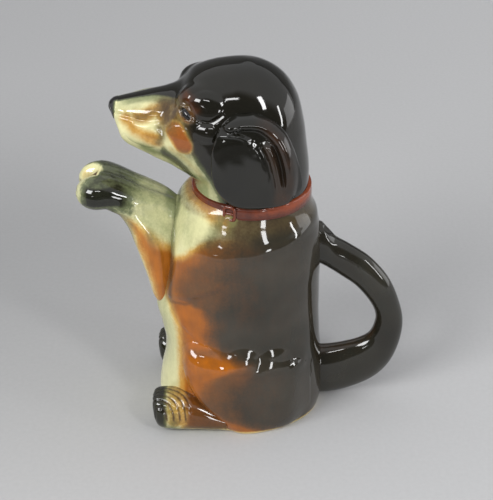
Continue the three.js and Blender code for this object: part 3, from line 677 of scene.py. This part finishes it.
# The frame is a square with round corners, |cos|^(1/2) and |sin|^(1/2), and its bar is round
frame_turns, bar_turns = turns(96)[None], turns(24)
bar_out, bar_high = bar_half * np.cos(bar_turns)[:, None], bar_half * np.sin(bar_turns)[:, None]
frame_across = bent(np.cos(frame_turns), 0.5) * (frame_half_width + bar_out)
frame_up = bent(np.sin(frame_turns), 0.5) * (frame_half_height + bar_out)
buckle = skin("buckle_frame", wrapped(frame_across, frame_up, 0.1 + bar_high), {
    "rust": 1, "brown": 0.88 - 0.2 * soft(bar_high, 0.4, 0.9)}, ring=True)
buckle.data.materials.append(red_glaze)
prong_run = np.linspace(0, 1, 24)[:, None]
prong_round = prong_half * np.sqrt(np.maximum(1 - (2 * prong_run - 1) ** 6, 0.02))
prong_across = (prong_run - 0.5) * prong_length + 0 * bar_turns
prong = skin("buckle_prong", wrapped(prong_across, prong_round * np.cos(bar_turns),
                                     0.35 + prong_round * np.sin(bar_turns)), {"rust": 1, "brown": 0.7})
prong.data.materials.append(red_glaze)
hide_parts("collar_buckle")
for piece in (buckle, prong):
    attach(piece, "jug")

# The hind feet
# Long feet pressed in a mould and luted in front of the haunches. The toes are cut in as arcs, brown
# runs in the cuts, black is sprayed on the tips, and a cream edge is left at the table.
foot_length, foot_height, foot_side = 40.0, 22.5, 11.5
foot_tip, foot_apart, foot_lift = -48.9, 29.0, 0.4
toe_corner, toe_arcs = (-46.5, 45.5), (7.5, 10.5, 13.5, 16.5, 19.5, 22.5)
# Place along the foot, top, underside and half width, as shares of the sizes above
foot_shares = np.array([
    (0.0, 0.85, 0.55, 0.4), (0.03, 0.95, 0.25, 0.75), (0.1, 1.0, 0.06, 0.93), (0.27, 1.0, 0.0, 1.0),
    (0.5, 0.97, 0.0, 1.0), (0.75, 0.8, 0.0, 0.97), (1.0, 0.55, 0.0, 0.88),
])
foot_glaze = glaze("foot glaze", rust=(0.16, 0.052, 0.008), green=(0.15, 0.16, 0.05), fray=1.0)
for hand, side_name in ((-1, "left"), (1, "right")):
    place = foot_shares[:, 0] * foot_length + foot_tip
    top, underside = (foot_lift + foot_shares[:, k] * foot_height for k in (1, 2))
    middle = np.full(len(foot_shares), hand * foot_apart)
    sections = np.stack([place, top, place, underside, foot_shares[:, 3] * foot_side, middle], -1)
    sole_and_toes = ovals(through(sections, 150), 150, 2.2)
    folded = mirrored(sole_and_toes)
    from_corner = np.linalg.norm(folded[..., :2] - toe_corner, axis=-1)
    cuts = sum(hump(from_corner - radius, 0.5) for radius in toe_arcs)
    cuts *= soft(folded[..., 2], 9, 13) * soft(folded[..., 0], -25, -31)
    sole_and_toes = raised(sole_and_toes, -0.55 * cuts)
    x, z = folded[..., 0], folded[..., 2]
    black_tips = soft(x, -39.5, -43.5) * soft(z, 3, 7)
    over_edge = soft(z, 2.5, 6)
    dark = np.maximum(0.95 * black_tips, 0.3 * cuts) * over_edge
    brown = np.maximum(0.6 * soft(x, -34, -20), 0.9 * cuts) * over_edge
    green = 0.45 * soft(z, 9, 4) + 0.5 * soft(x, -30, -40)
    rust = np.maximum(soft(x, -37, -28), 0.62 * soft(x, -44, -36) * soft(z, 5, 10)) * over_edge
    foot_piece = skin(side_name + "_foot_with_toes", sole_and_toes, {
        "rust": rust, "green": green, "brown": brown, "dark": dark, "bare": 0.6 * soft(z, 1.2, 0.6)})
    foot_piece.data.materials.append(foot_glaze)
    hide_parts(side_name + "_hind_foot")
    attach(foot_piece, "jug")

# The head, which is the lid
# One hollow cast: skull, brows, muzzle, chin and a low boss on the crown. It was sprayed black from
# above and behind, and tan and chestnut on the cream of the muzzle, the cheeks and the throat.
head_length, head_height, head_side, seat = 100.0, 66.0, 30.0, 137.0
head_around, head_rows = 280, 230
# Outline over the crown, outline under the jaw and half width, fanned about the throat, as shares
head_shares = np.array([
    (0.293, 0.0, -0.293, 0.0, 0.977), (0.293, 0.152, -0.297, 0.053, 0.987),
    (0.278, 0.348, -0.312, 0.098, 1.0), (0.261, 0.53, -0.352, 0.136, 0.993),
    (0.224, 0.738, -0.397, 0.171, 0.96), (0.145, 0.905, -0.432, 0.197, 0.9),
    (0.018, 1.0, -0.467, 0.217, 0.833), (-0.145, 0.995, -0.497, 0.238, 0.76),
    (-0.275, 0.935, -0.522, 0.258, 0.677), (-0.352, 0.826, -0.547, 0.276, 0.583),
    (-0.417, 0.785, -0.572, 0.292, 0.51), (-0.497, 0.758, -0.6, 0.315, 0.46),
    (-0.577, 0.73, -0.627, 0.338, 0.413), (-0.642, 0.708, -0.655, 0.386, 0.36),
    (-0.682, 0.692, -0.668, 0.455, 0.283), (-0.705, 0.67, -0.683, 0.535, 0.167),
    (-0.713, 0.641, -0.7, 0.59, 0.067),
])
# The eye's middle, the way it is long and the way it looks out, square to one another
eye_spot, eye_along = np.array((-27.6, 20.9, 184.0)), np.array((0.497, 0.606, -0.621))
eye_out = np.array((-0.50, 0.78, 0.36))
eye_out -= eye_along * (eye_out @ eye_along)
eye_out /= np.linalg.norm(eye_out)
eye_across = np.cross(eye_out, eye_along)


def head_sections(shares, inset):
    """Sections of the head, each drawn in by inset along its own plane."""
    first = shares[:, 0:2] * (head_length, head_height) + (neck_axis, seat)
    second = shares[:, 2:4] * (head_length, head_height) + (neck_axis, seat)
    pull = (first - second) / np.linalg.norm(first - second, axis=1, keepdims=True) * inset
    side = shares[:, 4:5] * head_side - inset
    return np.concatenate([first - pull, second + pull, side, 0 * side], 1)


def from_eye(folded):
    """Distance from the eye's middle, 1 on the edge of an oval 3.6 mm long and 1.7 mm wide each way."""
    offset = folded - eye_spot
    along, across, out = (offset @ way / half for way, half in (
        (eye_along, 3.6), (eye_across, 1.7), (eye_out, 6)))
    return np.sqrt(along ** 2 + across ** 2 + out ** 2)


def modelled(points):
    """The head's skin with what was modelled on it: brows, boss, temples, cheeks, lips and eye lids."""
    for hand in (-1, 1):
        points = swollen(points, np.array((-19.5, hand * 13.5, 188.8)), np.array((11.5, 7.5, 7.2)), 0.3)
    points = swollen(points, np.array((2.5, 0, 200.0)), np.array((6.0, 6.0, 3.6)), 0.25)
    folded = mirrored(points)

    def dome(centre, half, height):
        """Height * (1 - d^2)^0.8 about a centre, d the distance over the half sizes."""
        d = np.linalg.norm((folded - centre) / np.array(half), axis=-1)
        return height * np.maximum(1 - d * d, 0) ** 0.8

    def line(path, width, height):
        """Height times a band along a smooth path."""
        return height * band_along(folded, through(path, 20), width)

    rise = dome((-17.3, 20.8, 188.0), (8.8, 9, 7.4), 2.0) + dome((-17.3, 25.5, 175.2), (6.8, 6, 4.8), 1.6)
    rise += dome((-31, 21.5, 170.5), (7, 7, 8), 1.0)
    rise += dome((-49, 11, 181.5), (11, 6, 4.6), 0.9) + dome((-48.5, 14, 169.4), (10.5, 8, 7.0), 1.9)
    rise -= line([(-62, 8.6, 178.2), (-58, 10.4, 178.0), (-54.5, 11.7, 177.6), (-50.9, 13.0, 176.8),
                  (-45.5, 14.6, 177.0), (-41.5, 15.6, 178.2)], 1.1, 0.8)
    rise += line([(-55, 12.4, 175.8), (-50.9, 13.2, 174.4), (-46.5, 14.4, 174.4), (-42.5, 15.2, 175.8)],
                 1.4, 0.6)
    rise -= line([(-40.4, 17.3, 174.6), (-38.6, 18.8, 170.5), (-38.8, 18.6, 165)], 1.1, 0.9)
    rise -= line([(-29.5, 15.6, 190.4), (-26.3, 19.6, 188.0), (-24.4, 21.6, 184.8), (-21.6, 23.0, 181.6),
                  (-15.6, 24.4, 180.6), (-9.8, 23.9, 184.6)], 0.85, 0.75)
    eye = from_eye(folded)
    rise += 0.9 * hump(eye - 1.25, 0.26) - 1.3 * soft(eye, 1.0, 0.7)
    return raised(points, rise)


face_rows = modelled(ovals(through(head_sections(head_shares, 0), head_rows), head_around, 2.15))
under = drawn_in(face_rows[0], [(7.7, 142.4), (7.7, 137.5), (7.3, 137.05), (6.5, seat), (3.0, seat),
                                (1.1, seat), (0.4, 137.15)])
face_rows[..., 2] = np.maximum(face_rows[..., 2], 137.35)
chamber = ovals(through(head_sections(head_shares[1:12], wall), 60)[::-1], head_around, 2.0)
head = np.concatenate([chamber, under, face_rows])
folded = mirrored(head)
x, y, z = folded[..., 0], folded[..., 1], folded[..., 2]
row = np.arange(len(head))[:, None] * np.ones(head_around)
shown = row >= len(chamber) + len(under) - 1


def near(path, width):
    """A band along a path over the head."""
    return band_along(folded, path, width)


# Black ends at an edge from the neck up to the brow, and along the ridge of the muzzle
edge = np.interp(z, (137, 143, 150, 156, 160, 166, 174, 178, 182, 187, 190, 193),
                 (-12, -13.5, -17, -21.2, -24, -26.2, -27.8, -28.2, -27, -28.5, -33, -48))
ridge_half = np.interp(x, (-66, -60, -52, -45, -41, -37, -33, -30), (2.2, 3.1, 3.8, 4.6, 6.0, 8.0, 11.0, 17))
ridge = soft(z, 176, 180)
off_patch = away(folded, [(-32.8, 20.8, 175.6), (-30.6, 22, 172.2), (-28.4, 23, 168)])
patch = soft(off_patch, 6.0, 3.4) * soft(y, 12, 17)
wash = near([(-37.5, 12, 185), (-37, 15.5, 181), (-35.4, 18.8, 177.2), (-33, 20, 180), (-33, 17, 184.5),
             (-34, 13.5, 187)], 5.2)
tan_above = near([(-51.4, 12.4, 178.4), (-47.9, 12.6, 179.3), (-44.4, 12.3, 180.9), (-41.4, 12, 182.4),
                  (-39, 14.5, 179.5)], 3.1)
tan_below = near([(-57.4, 10.5, 177.2), (-55.4, 11.8, 174.8), (-52.5, 13.1, 171.9), (-49.6, 14, 170.3),
                  (-46.1, 15.2, 168.8), (-42.6, 17.2, 167.5)], 3.0)
tan_deep = near([(-46.6, 14.9, 170.2), (-42, 17.3, 169.6)], 2.5)
olive = near([(-40.8, 17, 174), (-39.4, 19, 171.1), (-41.2, 17.9, 167.4)], 2.3)
beside = near([(-31, 20, 180), (-27.5, 22, 177.5), (-25.6, 23, 173), (-24.6, 23.4, 168), (-24.5, 23.4, 165)],
              3.4)
stripe = near([(-34.6, 20.8, 165.0), (-31.7, 21.3, 162.8), (-28.8, 21.7, 160.4), (-25.9, 22.5, 157.6),
               (-23.4, 23.1, 155.4), (-21.5, 23.6, 152), (-18.9, 22.4, 146)], 1.8)
chin_green = near([(-48.5, 13.1, 161.8), (-44.9, 14.7, 160.6), (-40.8, 17, 160.8), (-36.9, 17.8, 159.6)], 4.2)
# Painted shade: dark green and black under the jaw, where its underside lies in shade
jaw = near([(-38.6, 18.4, 161.4), (-34.8, 18.6, 158.6), (-31.9, 18.8, 156.0), (-29, 19.2, 153.4),
            (-25.4, 18.8, 149.4)], 3.2)
lid = near([(-30.6, 14.6, 189.8), (-28.6, 17.2, 188.4), (-26.2, 20.2, 187.0), (-24.2, 22, 184.2),
            (-24.2, 22.8, 181.2)], 1.3)
lower_lid = near([(-30.2, 20.6, 183.2), (-28.6, 22.2, 181.0), (-26, 22.8, 180.2)], 0.9)
eye = from_eye(folded)
rust = np.maximum.reduce([0.7 * tan_above, 0.62 * tan_below, 0.8 * tan_deep, 0.97 * patch, 0.85 * lid,
                          0.8 * lower_lid, 0.2 * stripe, 0.5 * wash])
green = np.maximum.reduce([
    0.85 * soft(y, ridge_half + 6.5, ridge_half + 1.5) * ridge * soft(x, -65, -55), 0.45 * tan_above,
    0.5 * wash, 0.6 * soft(z, 168, 161) * soft(x, -40, -36), 0.6 * olive, 0.9 * chin_green, 0.7 * jaw,
    0.85 * soft(z, 156, 150) * soft(x, -14, -18), 0.4 * stripe, 0.35 * soft(z, 162, 156) * soft(x, -60, -48),
    0.3 * soft(z, 172, 180) * soft(x, -46, -52)])
brown = np.maximum.reduce([0.85 * soft(x, edge - 5, edge + 0.5) * soft(z, 160, 166), 0.5 * tan_above,
                           0.25 * tan_below, 0.5 * tan_deep, 0.85 * wash, 0.62 * olive, 0.3 * jaw,
                           0.8 * beside])
brown = np.maximum(brown * (1 - 0.75 * patch), 0.3 * patch)
dark = np.maximum(soft(x, edge - 2.5, edge + 4.5), soft(y, ridge_half + 1.6, ridge_half - 1.2) * ridge)
dark = np.maximum.reduce([dark * (1 - 0.85 * lid), 0.42 * wash, 0.72 * jaw, 0.45 * beside * (1 - patch)])
dark *= (1 - 0.92 * stripe) * (1 - 0.75 * lower_lid) * (1 - 0.8 * patch * soft(x, -22, -26))
brown *= (1 - 0.9 * stripe) * (1 - 0.5 * lower_lid)
dark = np.maximum(dark, 0.9 * soft(eye, 1.12, 0.95))
brown = np.maximum(brown, 0.7 * soft(eye, 2.0, 1.4))
rust = np.maximum(rust, 0.7 * soft(eye, 2.2, 1.6) * (1 - soft(x, -26, -23)))
thin = 0.55 * near([(-27, 16.5, 191.5), (-24, 19, 189.5), (-22.6, 21.3, 186.5)], 2.4)
bare = np.where(shown, 0, 1) * (z < 137.3)
rust, green, brown, dark, thin = (np.where(shown, mask, 0) for mask in (rust, green, brown, dark, thin))
head_shell = skin("head_of_the_hound", head, {
    "rust": rust, "green": green, "brown": brown, "dark": dark, "thin": thin, "bare": bare})
head_glaze = glaze("head glaze", rust=(0.36, 0.085, 0.010), fray=0.6, waves=0.04)
head_shell.data.materials.append(head_glaze)
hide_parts("head_shell")
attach(head_shell, "lid")

# The seat flange
# A ring of clay under the head that drops into the neck and keeps the lid from sliding. It was left
# unglazed, so that the lid wouldn't stick in the kiln.
flange_profile = [
    (21.4, neck_top), (21.4, 125.2), (21.6, 124.5), (22.1, 124.2), (23.7, 124.2), (24.2, 124.5),
    (24.4, 125.2), (24.4, neck_top), (23.0, neck_top),
]
lid_flange = skin("lid_seat_flange", level_rows(flange_profile, head_around), {"bare": 1}, ring=True)
lid_flange.data.materials.append(head_glaze)
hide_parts("lid_flange")
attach(lid_flange, "lid")

# The nose
# The blunt tip of the muzzle, pressed with two nostrils and painted black. It starts from the last rows of
# the head's skin and sinks into it behind the pad.
tip = face_rows[::-1][:70]
folded = mirrored(tip)
inside_nose = np.linalg.norm((tip - (-66.5, 0, 178.6)) / (6.4, 8.5, 6.6), axis=-1)
pad = soft(tip[..., 0], -62.4, -64.4) * soft(tip[..., 2], 173.0, 175.5)
nostril = hump(np.linalg.norm((folded - (-66.0, 3.6, 178.4)) * (1, 1.1, 1), axis=-1), 1.2)
under_nose = band_along(folded, [(-64, 7.4, 177.6), (-61.5, 8.8, 177.9)], 0.7)
tip = raised(tip, 0.2 + 0.25 * pad - 0.7 * nostril - 0.4 * under_nose - 1.2 * soft(inside_nose, 0.98, 1.1))
ridge_half = np.interp(folded[..., 0], (-66, -64, -62, -58), (5, 2.4, 2.2, 2.4))
ridge = soft(folded[..., 1], ridge_half + 1.8, ridge_half - 0.8) * soft(tip[..., 2], 178.5, 180.5)
nose = skin("nose_pad", tip, {
    "dark": np.maximum(pad, ridge), "green": 0.3 * ridge,
    "brown": 0.7 * under_nose, "rust": 0.4 * under_nose})
nose.data.materials.append(glaze("nose glaze", black=(0.010, 0.009, 0.008), mist=(0.016, 0.014, 0.012)))
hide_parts("nose")
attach(nose, "lid")

# The ears
# Long flaps cut from a slab, bent over the cheeks and luted down. A fold runs down the back half, the
# front half lies flat, and a bead of slip sits at the root.
ear_half_thickness, ear_apart = 3.6, 31.5
# Rear outline, front outline, thickness and distance from the middle, as shares of the head's and the
# ear's sizes
ear_shares = np.array([
    (0.01, 0.745, -0.08, 0.735, 0.5, 0.8), (0.093, 0.71, -0.14, 0.68, 0.9, 0.9),
    (0.162, 0.625, -0.178, 0.575, 1.0, 0.985), (0.213, 0.455, -0.197, 0.455, 1.0, 1.03),
    (0.243, 0.258, -0.195, 0.273, 1.0, 1.04), (0.233, 0.152, -0.167, 0.152, 0.95, 1.035),
    (0.173, 0.061, -0.107, 0.053, 0.85, 1.025), (0.073, 0.02, -0.047, 0.016, 0.5, 1.02),
])
roll_path = [(-6, 182.6), (-1, 184), (7.9, 183.8), (13.8, 180.6), (18.6, 174.8), (21.6, 167), (23.2, 158),
             (22.8, 150), (20.5, 142)]
fold_path = [(12.2, 172.6), (14.6, 166.7), (16.6, 158.7), (18.0, 150), (17.5, 143)]
rear_cut = [(15.4, 172.6), (17.8, 166), (19.6, 158), (20.3, 150), (19.2, 143)]
front_cut = [(8.6, 171), (11.2, 163), (13.6, 153), (14, 144)]
ear_glaze = glaze("ear glaze", rust=(0.10, 0.04, 0.02), mist=(0.012, 0.011, 0.008), waves=0.03, pits=0.05)


def crease(profile, path, width):
    """A band along a smooth path over the ear, seen from its side."""
    return band_along(profile, through(path, 24), width)


for hand, side_name in ((-1, "left"), (1, "right")):
    first = ear_shares[:, 0:2] * (head_length, head_height) + (neck_axis, seat)
    second = ear_shares[:, 2:4] * (head_length, head_height) + (neck_axis, seat)
    flat = ear_shares[:, 4:6] * (ear_half_thickness, hand * ear_apart)
    flap = ovals(through(np.concatenate([first, second, flat], 1), 150), 170, 3.0)
    folded = mirrored(flap)
    cheek = np.interp(folded[..., 2], (137, 160, 187), (32.2, 32.4, 26))
    face_out = soft(folded[..., 1] - cheek, -0.5, 2.0)
    profile = folded[..., [0, 2]]
    # The hollow of the flap is a leaning oval, with the rolled edge above and two cuts beside the fold
    leaning = profile[..., 0] + 1.2 + 0.28 * (profile[..., 1] - 160)
    oval = (np.abs(leaning / 13.2) ** 2.6 + np.abs((profile[..., 1] - 159.8) / 18.2) ** 2.6) ** (1 / 2.6)
    above = soft(0.8 * leaning + 0.7 * (profile[..., 1] - 160), -5, 5)
    roll, fold = crease(profile, roll_path, 3.0), crease(profile, fold_path, 2.2)
    cut = crease(profile, rear_cut, 0.9) + 0.6 * crease(profile, front_cut, 0.9)
    from_roll = -np.log(np.maximum(roll, 1e-6))
    channel = above * soft(oval, 1.0, 1.1) * soft(from_roll, 0.2, 2.0) * (1 - 0.9 * fold)
    lip = hump(oval - 1.0, 0.045) * above
    bead = hump(np.linalg.norm(profile - (-2.4, 181.4), axis=-1), 1.3)
    rise = (2.5 * roll + 1.9 * fold - 1.1 * cut) * soft(profile[..., 1], 142, 157)
    rise = rise - 1.5 * channel + 0.5 * lip - 0.5 * soft(oval, 0.95, 0.3) + 0.8 * bead
    flap[..., 1] += hand * rise * face_out
    # The black is painted a little lighter along the fold, a painted reflection; the glaze thins to brown on
    # the roll and the fold
    ear = skin(side_name + "_ear_flap", flap, {
        "brown": 1, "dark": 1 - 0.12 * fold * face_out,
        "thin": (0.35 * roll + 0.2 * fold) * face_out * soft(profile[..., 0], 4, 14)})
    ear.data.materials.append(ear_glaze)
    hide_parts(side_name + "_ear")
    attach(ear, "lid")

# The eyes
# Small domes between moulded lids, glazed dark brown.
eye_half_length, eye_half_width, eye_height, eye_sunk = 3.5, 1.65, 1.5, 0.95
eye_glaze = glaze("eye glaze", black=(0.008, 0.008, 0.009), mist=(0.014, 0.012, 0.012), waves=0.01,
                  pits=0.0, sheen=0.04)
lift, spin = np.linspace(0.04, math.pi - 0.04, 40)[:, None, None], turns(56)[None, :, None]
eye_round = eye_half_length * eye_along * np.cos(spin) + eye_half_width * eye_across * np.sin(spin)
eye_dome = eye_spot - eye_sunk * eye_out + eye_height * eye_out * np.cos(lift) + np.sin(lift) * eye_round
for hand, side_name in ((-1, "left"), (1, "right")):
    eye = skin(side_name + "_eye_dome", eye_dome * (1, hand, 1), {"dark": 1, "brown": 1})
    eye.data.materials.append(eye_glaze)
    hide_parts(side_name + "_eye")
    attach(eye, "lid")

# The studio
# A pale grey sweep of paper under and behind the jug, and a dim room. The glaze mirrors soft boxes in front
# on the left, on the right and over the camera, two low windows, and a strip and a dim pale wall on the
# right. The camera stands where the photograph was taken from.
paper_front, bend_start, bend_radius, paper_top, paper_half = -7.0, 3.6, 0.8, 4.0, 7.0
bend = np.linspace(0.1, 1.57, 14)
depths = np.concatenate([np.linspace(paper_front, bend_start, 40), bend_start + bend_radius * np.sin(bend),
                         np.full(6, bend_start + bend_radius)])
heights = np.concatenate([np.zeros(40), bend_radius - bend_radius * np.cos(bend),
                          np.linspace(bend_radius + 0.1, paper_top, 6)])
columns = np.linspace(-paper_half, paper_half, 30)
sweep_points = np.stack(np.broadcast_arrays(columns[None], depths[:, None], heights[:, None]), -1)
here = np.arange(len(depths) * len(columns)).reshape(-1, len(columns))
sweep_faces = np.stack([here[:-1, :-1], here[:-1, 1:], here[1:, 1:], here[1:, :-1]], -1).reshape(-1, 4)
sweep_mesh = bpy.data.meshes.new("paper_sweep")
sweep_mesh.from_pydata(sweep_points.reshape(-1, 3), [], sweep_faces.tolist())
sweep_mesh.polygons.foreach_set("use_smooth", np.ones(len(sweep_faces), bool))
sweep = bpy.data.objects.new("paper_sweep", sweep_mesh)
bpy.context.scene.collection.objects.link(sweep)
paper = bpy.data.materials.new("grey paper")
paper.use_nodes = True
tree = paper.node_tree
nodes, links = tree.nodes, tree.links
shader = nodes["Principled BSDF"].inputs
shader["Roughness"].default_value = 0.7
shader["Specular IOR Level"].default_value = 0.2
spot = nodes.new("ShaderNodeTexCoord").outputs["Object"]
tone = nodes.new("ShaderNodeValToRGB")
tone.color_ramp.elements[0].color = (0.45, 0.45, 0.453, 1)
tone.color_ramp.elements[1].color = (0.50, 0.50, 0.503, 1)
links.new(noise(tree, spot, 400, 3), tone.inputs["Fac"])
# The paper is painted paler towards the wall and on the right, a painted light, and darker left of the jug, a
# painted shadow
apart = nodes.new("ShaderNodeSeparateXYZ")
links.new(spot, apart.inputs["Vector"])
depth = ranged(tree, apart.outputs["Y"], 0.0, 1.2, 1.0, 1.3)
sideways = ranged(tree, apart.outputs["X"], -0.4, 0.4, 0.95, 1.13)
offset = nodes.new("ShaderNodeVectorMath")
offset.operation = "DISTANCE"
offset.inputs[1].default_value = (-0.20, 0.14, 0.0)
links.new(spot, offset.inputs[0])
# A painted shadow darkens the paper left of the jug
wear_and_painted_shadow = ranged(tree, offset.outputs["Value"], 0.0, 0.32, 0.79, 1.0)
painted_light_and_shadow = maths(tree, "MULTIPLY", maths(tree, "MULTIPLY", depth, sideways), wear_and_painted_shadow)
# Past the lower edge of the picture the glaze mirrors a dark room and not the paper
front = ranged(tree, apart.outputs["Y"], -0.46, -0.38, 0.8, 0.0)
mirrored_front = maths(tree, "MULTIPLY", front, nodes.new("ShaderNodeLightPath").outputs["Is Glossy Ray"])
shade = nodes.new("ShaderNodeVectorMath")
shade.operation = "SCALE"
links.new(tone.outputs["Color"], shade.inputs[0])
links.new(maths(tree, "MULTIPLY", painted_light_and_shadow, maths(tree, "SUBTRACT", 1.0, mirrored_front)),
          shade.inputs["Scale"])
links.new(shade.outputs["Vector"], shader["Base Color"])
sweep_mesh.materials.append(paper)

# The room: bright overhead and behind, dim on the side of the camera, so that dark glaze has something to
# mirror, and plain grey where the camera looks past the paper. Its brightness rises with
# height + 0.6 * depth + 0.45 * |width| of the direction that is looked in.
world = bpy.data.worlds.new("soft room")
world.use_nodes = True
tree = world.node_tree
nodes, links = tree.nodes, tree.links
background = nodes["Background"].inputs
background["Color"].default_value = (0.97, 0.98, 1.0, 1)
split = nodes.new("ShaderNodeSeparateXYZ")
links.new(nodes.new("ShaderNodeTexCoord").outputs["Generated"], split.inputs["Vector"])
total = maths(tree, "MULTIPLY_ADD", split.outputs["Y"], 0.6, split.outputs["Z"])
total = maths(tree, "MULTIPLY_ADD", maths(tree, "ABSOLUTE", split.outputs["X"]), 0.45, total)
behind = nodes.new("ShaderNodeMix")
behind.inputs["B"].default_value = 0.52
links.new(nodes.new("ShaderNodeLightPath").outputs["Is Camera Ray"], behind.inputs["Factor"])
links.new(ranged(tree, total, 0.30, 0.62, 0.08, 0.72), behind.inputs["A"])
links.new(behind.outputs["Result"], background["Strength"])
bpy.context.scene.world = world


def soft_box(name, place, target, width, height, watts):
    """A rectangular lamp at a place, facing a target, with its width level."""
    lamp = bpy.data.lights.new(name, "AREA")
    lamp.shape, lamp.size, lamp.size_y, lamp.energy = "RECTANGLE", width, height, watts
    box = bpy.data.objects.new(name, lamp)
    way = np.array(target) - np.array(place)
    tilt = math.atan2(math.hypot(way[0], way[1]), -way[2])
    box.rotation_euler = (tilt, 0, math.atan2(way[1], way[0]) - math.pi / 2)
    box.location = place
    bpy.context.scene.collection.objects.link(box)


jug_middle, jug_shoulder = (0, 0, 0.1), (0, 0, 0.12)
soft_box("left soft box", (-0.80, -0.81, 0.85), jug_middle, 0.62, 0.42, 11.5)
soft_box("right soft box", (0.75, -0.95, 0.95), jug_middle, 0.16, 0.42, 4.5)
soft_box("low window", (0.58, -1.42, 0.21), jug_shoulder, 0.17, 0.38, 3.0)
soft_box("low left window", (-0.56, -1.42, 0.37), jug_shoulder, 0.16, 0.06, 0.4)
soft_box("front box", (-0.12, -1.12, 1.12), jug_middle, 0.40, 0.09, 1.8)
soft_box("pale wall on the right", (1.8, 0.25, 0.30), jug_shoulder, 1.1, 0.6, 3.4)
soft_box("right strip", (1.25, -0.50, 0.42), jug_middle, 0.08, 0.50, 2.2)

camera_data = bpy.data.cameras.new("camera")
camera_data.sensor_width = 36
camera_data.lens = 93.6
camera_data.clip_start = 0.05
camera = bpy.data.objects.new("camera", camera_data)
camera.location = (0.0005, -0.5939, 0.4514)
camera.rotation_euler = (math.radians(90 - 31), 0, 0)
bpy.context.scene.collection.objects.link(camera)
bpy.context.scene.camera = camera
bpy.context.scene.view_settings.view_transform = "Standard"
